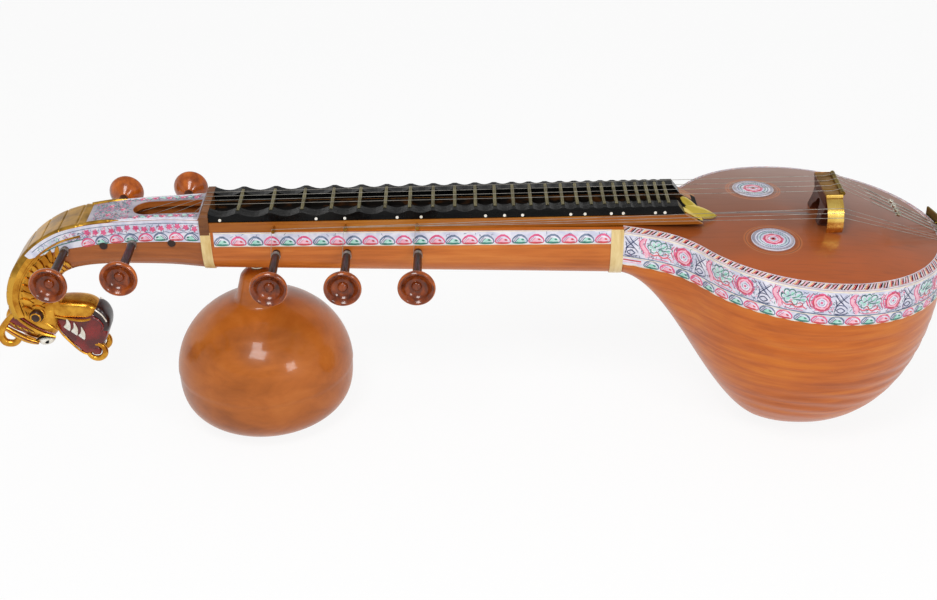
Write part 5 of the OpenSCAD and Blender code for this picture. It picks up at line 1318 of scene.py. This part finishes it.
class VEENA_OT_yali(bpy.types.Operator):
    """Carve the gilded yali head"""

    bl_idname = "veena.yali"
    bl_label = "Yali head"

    def execute(self, context):
        gold, red, maroon, white, black = (FINISH[n] for n in ("gold", "red_paint", "maroon", "tooth", "wax"))
        mats = [gold, red, maroon, white, black, FINISH["crest"]]
        skull = Heap()
        pillow(skull, [(-286, -146), (-262, -142), (-238, -146), (-224, -156), (-222, -178), (-229, -199),
                       (-241, -208), (-261, -210), (-279, -200), (-288, -176)], 27.0, 2.6)
        for way in (-1, 1):
            # Cheek and brow folds, with red lines painted beside them
            for path, radius, mat in (
                    ([(-287, 24, -160), (-266, 27, -178), (-246, 27, -192), (-230, 23, -200)], 2.6, 0),
                    ([(-284, 24, -156), (-264, 27.5, -173), (-244, 27.5, -187), (-229, 23.5, -195)], 1.1, 1),
                    ([(-270, 26, -196), (-256, 24, -205), (-244, 22, -208)], 2.2, 0),
                    ([(-240, 25, -176), (-232, 24, -184), (-226, 22, -190)], 1.6, 0)):
                q = through(np.array(path, float) * (1, way, 1), np.linspace(0, len(path) - 1, 24))
                skull.tube(q, radius * (0.5 + 0.5 * np.sin(np.linspace(0.3, pi - 0.2, 24))), 8, mat)
        put(skull, "yali_skull_carved", mats, replaces=["yali_skull"])
        snout = Heap()
        pillow(snout, [(-238, -152), (-212, -147), (-184, -149), (-169, -156), (-166, -166), (-177, -176),
                       (-205, -176), (-238, -172)], 20.5, 3.0)
        for way in (-1, 1):
            lip = np.array([(-238, 19, -167), (-214, 19.5, -172), (-192, 19.5, -176), (-179, 17, -175), (-170, 12, -168)], float)
            q = through(lip * (1, way, 1), np.linspace(0, 4, 30))
            snout.tube(q, 2.0 * np.sin(np.linspace(0.35, pi - 0.35, 30)), 8, 0)
        put(snout, "yali_snout_carved", mats, replaces=["yali_snout"])
        mouth = Heap()
        pillow(mouth, [(-227, -174), (-200, -171), (-170, -168), (-158, -188), (-159, -206), (-170, -224),
                       (-190, -236), (-203, -224), (-216, -208), (-227, -190)], 19.0, 6.0, 1)
        for way in (-1, 1):
            rim = np.array([(-229, 16, -178), (-224, 17, -195), (-211, 17, -214), (-197, 17, -230), (-187, 15, -236)], float)
            q = through(rim * (1, way, 1), np.linspace(0, 4, 30))
            mouth.tube(q, 1.8 * np.sin(np.linspace(0.3, pi - 0.3, 30)), 8, 0)
        put(mouth, "yali_mouth_carved", mats, replaces=["yali_mouth"])
        muzzle = Heap()
        pillow(muzzle, [(-178, -163), (-168, -157), (-158, -163), (-152, -178), (-154, -194), (-162, -205),
                        (-166, -194), (-171, -178)], 18.5, 3.4, 2)
        for way in (-1, 1):
            stripe = np.array([(-170, 18.4, -160), (-162, 18.2, -168), (-156.5, 17, -180)], float)
            muzzle.tube(through(stripe * (1, way, 1), np.linspace(0, 2, 14)), 1.1, 6, 3)
            nostril = np.array([(-174, 19, -172), (-167, 19.5, -176), (-162, 19, -186), (-166, 18, -196)], float)
            muzzle.tube(through(nostril * (1, way, 1), np.linspace(0, 3, 18)), 1.3, 6, 1)
        put(muzzle, "yali_muzzle_carved", mats, replaces=["yali_muzzle"])
        teeth = Heap()
        claw = np.array([(0, 0), (2.6, -5), (4.4, -11), (3.4, -18), (1.6, -21.5), (-2.6, -18), (-5.8, -14.5), (-2.4, -10), (-0.9, -5)])
        for way in (-1, 1):
            for k in range(3):
                pillow(teeth, claw + (-211.5 + 9.4 * k, -171 - 7.4 * k), 1.8, 2.2, 3, way * 20.2, 6, 40)
        put(teeth, "yali_teeth_carved", mats, replaces=["yali_teeth"])
        rings = Heap()
        turn = np.radians(np.linspace(-172, 104, 48))
        for way in (-1, 1):
            path = np.stack([-177 + 12.2 * np.cos(turn), way * 15.4 + 0 * turn, -229 + 12.2 * np.sin(turn)], -1)
            rings.tube(path, 4.4 * np.sin(np.linspace(0.5, pi - 0.5, 48)) ** 0.5, 14, 0)
            pillow(rings, [(-183, -234), (-173, -235), (-170, -227), (-174, -221), (-183, -222)], 6, 2.2, 1, way * 13)
        put(rings, "yali_rings_curled", mats, replaces=["yali_curl"])
        ears = Heap()
        for way in (-1, 1):
            horn = np.array([(-283, 23, -160), (-297, 25, -176), (-305.5, 25, -191), (-302, 25, -205), (-290, 24, -208),
                             (-282, 23, -201), (-284, 23, -194)], float)
            strand = np.array([(-297, 25, -183), (-282, 26, -194), (-268, 25, -203), (-255, 23, -209)], float)
            for path, radius, mat in ((horn, 5.6, 0), (strand, 5.2, 0), (strand * (1, 1, 1) + (1, 4.4, 1), 1.0, 1)):
                q = through(path * (1, way, 1), np.linspace(0, len(path) - 1, 44))
                ears.tube(q, radius * np.sin(np.linspace(0.6, pi - 0.45, 44)) ** 0.7, 12, mat)
            pillow(ears, [(-285, -163), (-266, -176), (-257, -190), (-268, -192), (-286, -184), (-295, -174)], 6, 2.4, 1, way * 23)
            for k in range(4):
                lock = np.array([(-290 + 8 * k, 28, -172 - 4 * k), (-284 + 8 * k, 29.4, -176 - 4 * k), (-281 + 8 * k, 28, -184 - 2 * k)], float)
                ears.tube(through(lock * (1, way, 1), np.linspace(0, 2, 12)), 1.5 * np.sin(np.linspace(0.4, pi - 0.4, 12)), 8, 5)
        put(ears, "yali_ears_curled", mats, replaces=["yali_ears"])
        eyes = Heap()
        for way in (-1, 1):
            pillow(eyes, [(-257, -205), (-250, -199), (-239, -199), (-232, -205), (-239, -212), (-251, -213)], 8, 2.2, 3, way * 19)
            brow = np.array([(-259, 25, -206), (-252, 27, -199), (-241, 27, -197), (-231, 24, -201)], float)
            eyes.tube(through(brow * (1, way, 1), np.linspace(0, 3, 20)), 1.6 * np.sin(np.linspace(0.3, pi - 0.3, 20)), 8, 4)
            pillow(eyes, [(-246, -208), (-243, -204), (-239, -204), (-241, -209)], 3, 2.2, 4, way * 25)
        put(eyes, "yali_eyes_painted", mats, replaces=["yali_eyes"])
        knobs = Heap()
        for way in (-1, 1):
            along = way * np.array([20, 24, 28, 31, 34, 36, 37.5])
            path = np.stack([-250 + 0 * along, along, -162 + 0 * along], -1)
            knobs.tube(path, [9, 9.6, 10, 9.6, 8, 5.4, 2.5], 28, 0)
            t = np.radians(np.linspace(0, 360, 49))
            for reach, wire, out in ((10.4, 1.7, 27), (6.6, 1.2, 35)):
                q = np.stack([-250 + reach * np.cos(t), way * out + 0 * t, -162 + reach * np.sin(t)], -1)
                knobs.tube(q, wire, 8, 1)
        put(knobs, "yali_knobs_turned", [FINISH["shank"], gold], replaces=["yali_knobs"])
        return {"FINISHED"}


def peg_profiles(inner, wall_r):
    """Turned peg as three profiles of (radius, reach): dark shank, cup-shaped back and rim of the
    head, and its dish with a small button."""
    r, neck_r, reach = PEG_HEAD_D / 2, SHANK_D / 2, wall_r + PEG_FREE
    back = np.array([(neck_r, -21), (neck_r + 1.5, -19.5), (r * 0.45, -17), (r * 0.66, -12.5), (r * 0.84, -7.5),
                     (r * 0.96, -2), (r, 1.5), (r * 0.985, 4), (r * 0.93, 5.4)])
    dish = np.array([(r * 0.93, 5.4), (r * 0.85, 5.0), (r * 0.74, 2.2), (r * 0.62, -1.5), (r * 0.46, -4.2),
                     (r * 0.3, -4.6), (r * 0.26, -3.4), (r * 0.24, -1), (r * 0.15, 0.6), (0, 1.0)])
    both = [through(q, np.linspace(0, len(q) - 1, 50)) + (0, reach) for q in (back, dish)]
    shank = np.stack([np.linspace(PEG_D / 2, neck_r, 12), np.linspace(wall_r + 3, reach - 21, 12)], -1)
    shank = np.concatenate([[(0, -inner), (PEG_D / 2 - 0.6, -inner), (PEG_D / 2, -inner + 0.6)], shank])
    return shank, both[0], both[1]


def coil(axis_at, radius, pitch, turns, wire):
    """Path of a wire wound on a peg: a helix about Z from the given height."""
    t = np.linspace(0, 2 * pi * turns, int(14 * turns))
    return np.stack([(radius + wire) * np.cos(t), (radius + wire) * np.sin(t), axis_at + pitch * t / (2 * pi)], -1)


class VEENA_OT_pegs(bpy.types.Operator):
    """Turn the seven tuning pegs"""

    bl_idname = "veena.pegs"
    bl_label = "Pegs"

    def execute(self, context):
        jobs = []
        for i in range(1, 5):
            w = SPINE_W[i]
            x = 1 - i * PEG_GAP - (i + 1) % 2 * NEAR_SHIFT
            jobs.append(("peg_%d" % i, "peg_body_%d" % i, (x, 0, MELODY_PEG_Z[i - 1]), 1 if i % 2 else -1, w + 1, w, w + 3))
        for i in range(1, 4):
            w = float(neck_w(i * DRONE_GAP))
            jobs.append(("drone_peg_%d" % i, "drone_peg_body_%d" % i, (i * DRONE_GAP, 0, DRONE_Z), -1, w, w, w + 6))
        for node, body, place, way, inner, wall_r, wound in jobs:
            heap = Heap()
            for mat, profile in enumerate(peg_profiles(inner, wall_r)):
                heap.turned(profile, 72, mat)
            heap.tube(coil(wound, PEG_D / 2 + 0.2, 1.0, 6, 0.4), 0.45, 6, 3)
            turn = Matrix.Rotation(radians(-90 * way), 3, "X")
            # The dish's darker wood colour is painted shade for the hollow face of the head.
            mats = [FINISH[n] for n in ("shank", "peg", "dish", "steel")]
            put(heap, node + "_turned", mats, body, [node], (turn, place), 35)
        return {"FINISHED"}


class VEENA_OT_gourd(bpy.types.Operator):
    """Grow the gourd resonator with its scribed shoulder line"""

    bl_idname = "veena.gourd"
    bl_label = "Gourd"

    def execute(self, context):
        top = GOURD_TOP - SEAT
        t = np.linspace(0, 1, 70)
        low = BELLY_Z - BELLY_H * np.cos(pi / 2 * t)
        high = BELLY_Z + (top - BELLY_Z) * np.sin(pi / 2 * t[1:])
        z = np.concatenate([low, high])
        r = gourd_radius(z)
        # Scribed line: a narrow groove round the shoulder
        r = r - 0.8 * np.exp(-(((r - 88) / 1.4) ** 2)) * (z > BELLY_Z)
        profile = np.concatenate([[(0, FLOOR_Z)], np.stack([r, z], -1), [(0, top)]])
        heap = Heap().turned(profile, 160)
        put(heap, "gourd_smooth", [FINISH["gourd"]], "gourd_body", ["gourd"],
            (np.eye(3), (GOURD_X, 0, 0)), 50)
        return {"FINISHED"}


class VEENA_OT_stage(bpy.types.Operator):
    """Set up floor, backdrop, soft light and the camera of the reference view"""

    bl_idname = "veena.stage"
    bl_label = "Stage"

    def execute(self, context):
        stage = context.scene.veena_stage
        scene = context.scene
        scene.view_settings.view_transform = "Standard"
        colour = (*stage.backdrop_colour, 1)

        paper = bpy.data.materials.new("matt_paper_backdrop")
        paper.use_nodes = True
        tree = paper.node_tree
        tree.nodes.clear()
        base = add(tree, "ShaderNodeBsdfDiffuse", {"Color": colour})
        glow = add(tree, "ShaderNodeEmission", {"Color": (1, 1, 1, 1), "Strength": 1.0})
        path = add(tree, "ShaderNodeLightPath")
        seen = maths(tree, "MAXIMUM", path.outputs["Is Camera Ray"],
                     maths(tree, "MAXIMUM", path.outputs["Is Glossy Ray"], path.outputs["Is Transmission Ray"]))
        seen = maths(tree, "MULTIPLY", seen, 0.9)
        both = add(tree, "ShaderNodeMixShader", {0: seen, 1: base.outputs[0], 2: glow.outputs[0]})
        add(tree, "ShaderNodeOutputMaterial", {"Surface": both.outputs[0]})
        # Round floor sweeping up into a wall on all sides: a profile turned about the object
        t = np.linspace(0, pi / 2, 15)[1:]
        r = np.concatenate([np.linspace(0, 6, 13), 6 + 1.2 * np.sin(t), [7.2]])[:, None]
        z = np.concatenate([np.zeros(13), 1.2 - 1.2 * np.cos(t), [3.0]])[:, None]
        a = np.linspace(0, 2 * pi, 96, endpoint=False)[None]
        g = np.stack(np.broadcast_arrays(r * np.cos(a), r * np.sin(a), z), -1).reshape(-1, 3)
        mesh = bpy.data.meshes.new("floor_sweep")
        mesh.from_pydata(g.tolist(), [], quads(len(r), 96, True)[:, ::-1].tolist())
        work = bmesh.new()
        work.from_mesh(mesh)
        bmesh.ops.remove_doubles(work, verts=work.verts, dist=1e-5)
        work.to_mesh(mesh)
        work.free()
        mesh.materials.append(paper)
        mesh.shade_smooth()
        floor = bpy.data.objects.new("floor_sweep", mesh)
        scene.collection.objects.link(floor)
        world = bpy.data.worlds.new("soft_room")
        scene.world = world
        world.use_nodes = True
        tree = world.node_tree
        tree.nodes.clear()
        even = add(tree, "ShaderNodeBackground", {"Color": (1, 1, 1, 1), "Strength": stage.world_level})
        add(tree, "ShaderNodeOutputWorld", {"Surface": even.outputs[0]})
        for name, place, size, power in (
                ("key_softbox", (-0.45, -1.5, 2.4), 0.9, stage.key_power),
                ("side_softbox", (1.5, -1.9, 1.5), 0.6, stage.key_power * 0.45)):
            lamp = bpy.data.lights.new(name, "AREA")
            lamp.energy, lamp.size = power, size
            obj = bpy.data.objects.new(name, lamp)
            obj.location = place
            obj.rotation_euler = (Vector((0, 0, 0.15)) - Vector(place)).to_track_quat("-Z", "Y").to_euler()
            scene.collection.objects.link(obj)
        self.camera(scene)
        return {"FINISHED"}

    def camera(self, scene):
        """Camera fitted to the reference view: place, three angles and focal length in pixels."""
        focal_px, wide_px = 1523.2246, 937.0
        lift, yaw, roll = radians(29.47839), radians(0.029448), radians(-1.003019)
        data = bpy.data.cameras.new("reference_camera")
        data.sensor_width = 36.0
        data.lens = focal_px * 36.0 / wide_px
        data.clip_end = 50.0
        forward = Vector((sin(yaw) * cos(lift), cos(yaw) * cos(lift), -sin(lift)))
        right = Vector((cos(yaw), -sin(yaw), 0))
        up = right.cross(forward)
        x_axis = right * cos(roll) + up * sin(roll)
        y_axis = up * cos(roll) - right * sin(roll)
        turn = Matrix((x_axis, y_axis, -forward)).transposed().to_4x4()
        obj = bpy.data.objects.new("reference_camera", data)
        obj.matrix_world = Matrix.Translation(((355.9516 + NUT_X) / 1000, -1.8858831, (901.1112 + NUT_Z) / 1000)) @ turn
        scene.collection.objects.link(obj)
        scene.camera = obj


STEPS = (
    VEENA_OT_finishes, VEENA_OT_bowl, VEENA_OT_plate, VEENA_OT_rim, VEENA_OT_bowl_band, VEENA_OT_rosettes,
    VEENA_OT_neck, VEENA_OT_brass, VEENA_OT_pegbox, VEENA_OT_yali, VEENA_OT_pegs, VEENA_OT_gourd, VEENA_OT_stage,
)


class VEENA_PT_panel(bpy.types.Panel):
    """Lists the build steps and their settings"""

    bl_idname = "VEENA_PT_panel"
    bl_label = "Saraswati veena"
    bl_space_type = "VIEW_3D"
    bl_region_type = "UI"
    bl_category = "Veena"

    def draw(self, context):
        for group in (context.scene.veena_sizes, context.scene.veena_stage):
            box = self.layout.box()
            for key in group.__annotations__:
                box.prop(group, key)
        for step in STEPS:
            self.layout.operator(step.bl_idname)


CLASSES = (VeenaSizes, VeenaStage, *STEPS, VEENA_PT_panel)


def register():
    """Registers the classes and the two groups of settings."""
    for cls in CLASSES:
        bpy.utils.register_class(cls)
    bpy.types.Scene.veena_sizes = bpy.props.PointerProperty(type=VeenaSizes)
    bpy.types.Scene.veena_stage = bpy.props.PointerProperty(type=VeenaStage)


def unregister():
    """Removes what register added."""
    del bpy.types.Scene.veena_stage
    del bpy.types.Scene.veena_sizes
    for cls in reversed(CLASSES):
        bpy.utils.unregister_class(cls)


def main():
    register()
    for step in STEPS:
        group, name = step.bl_idname.split(".")
        getattr(getattr(bpy.ops, group), name)()


if __name__ == "__main__":
    main()
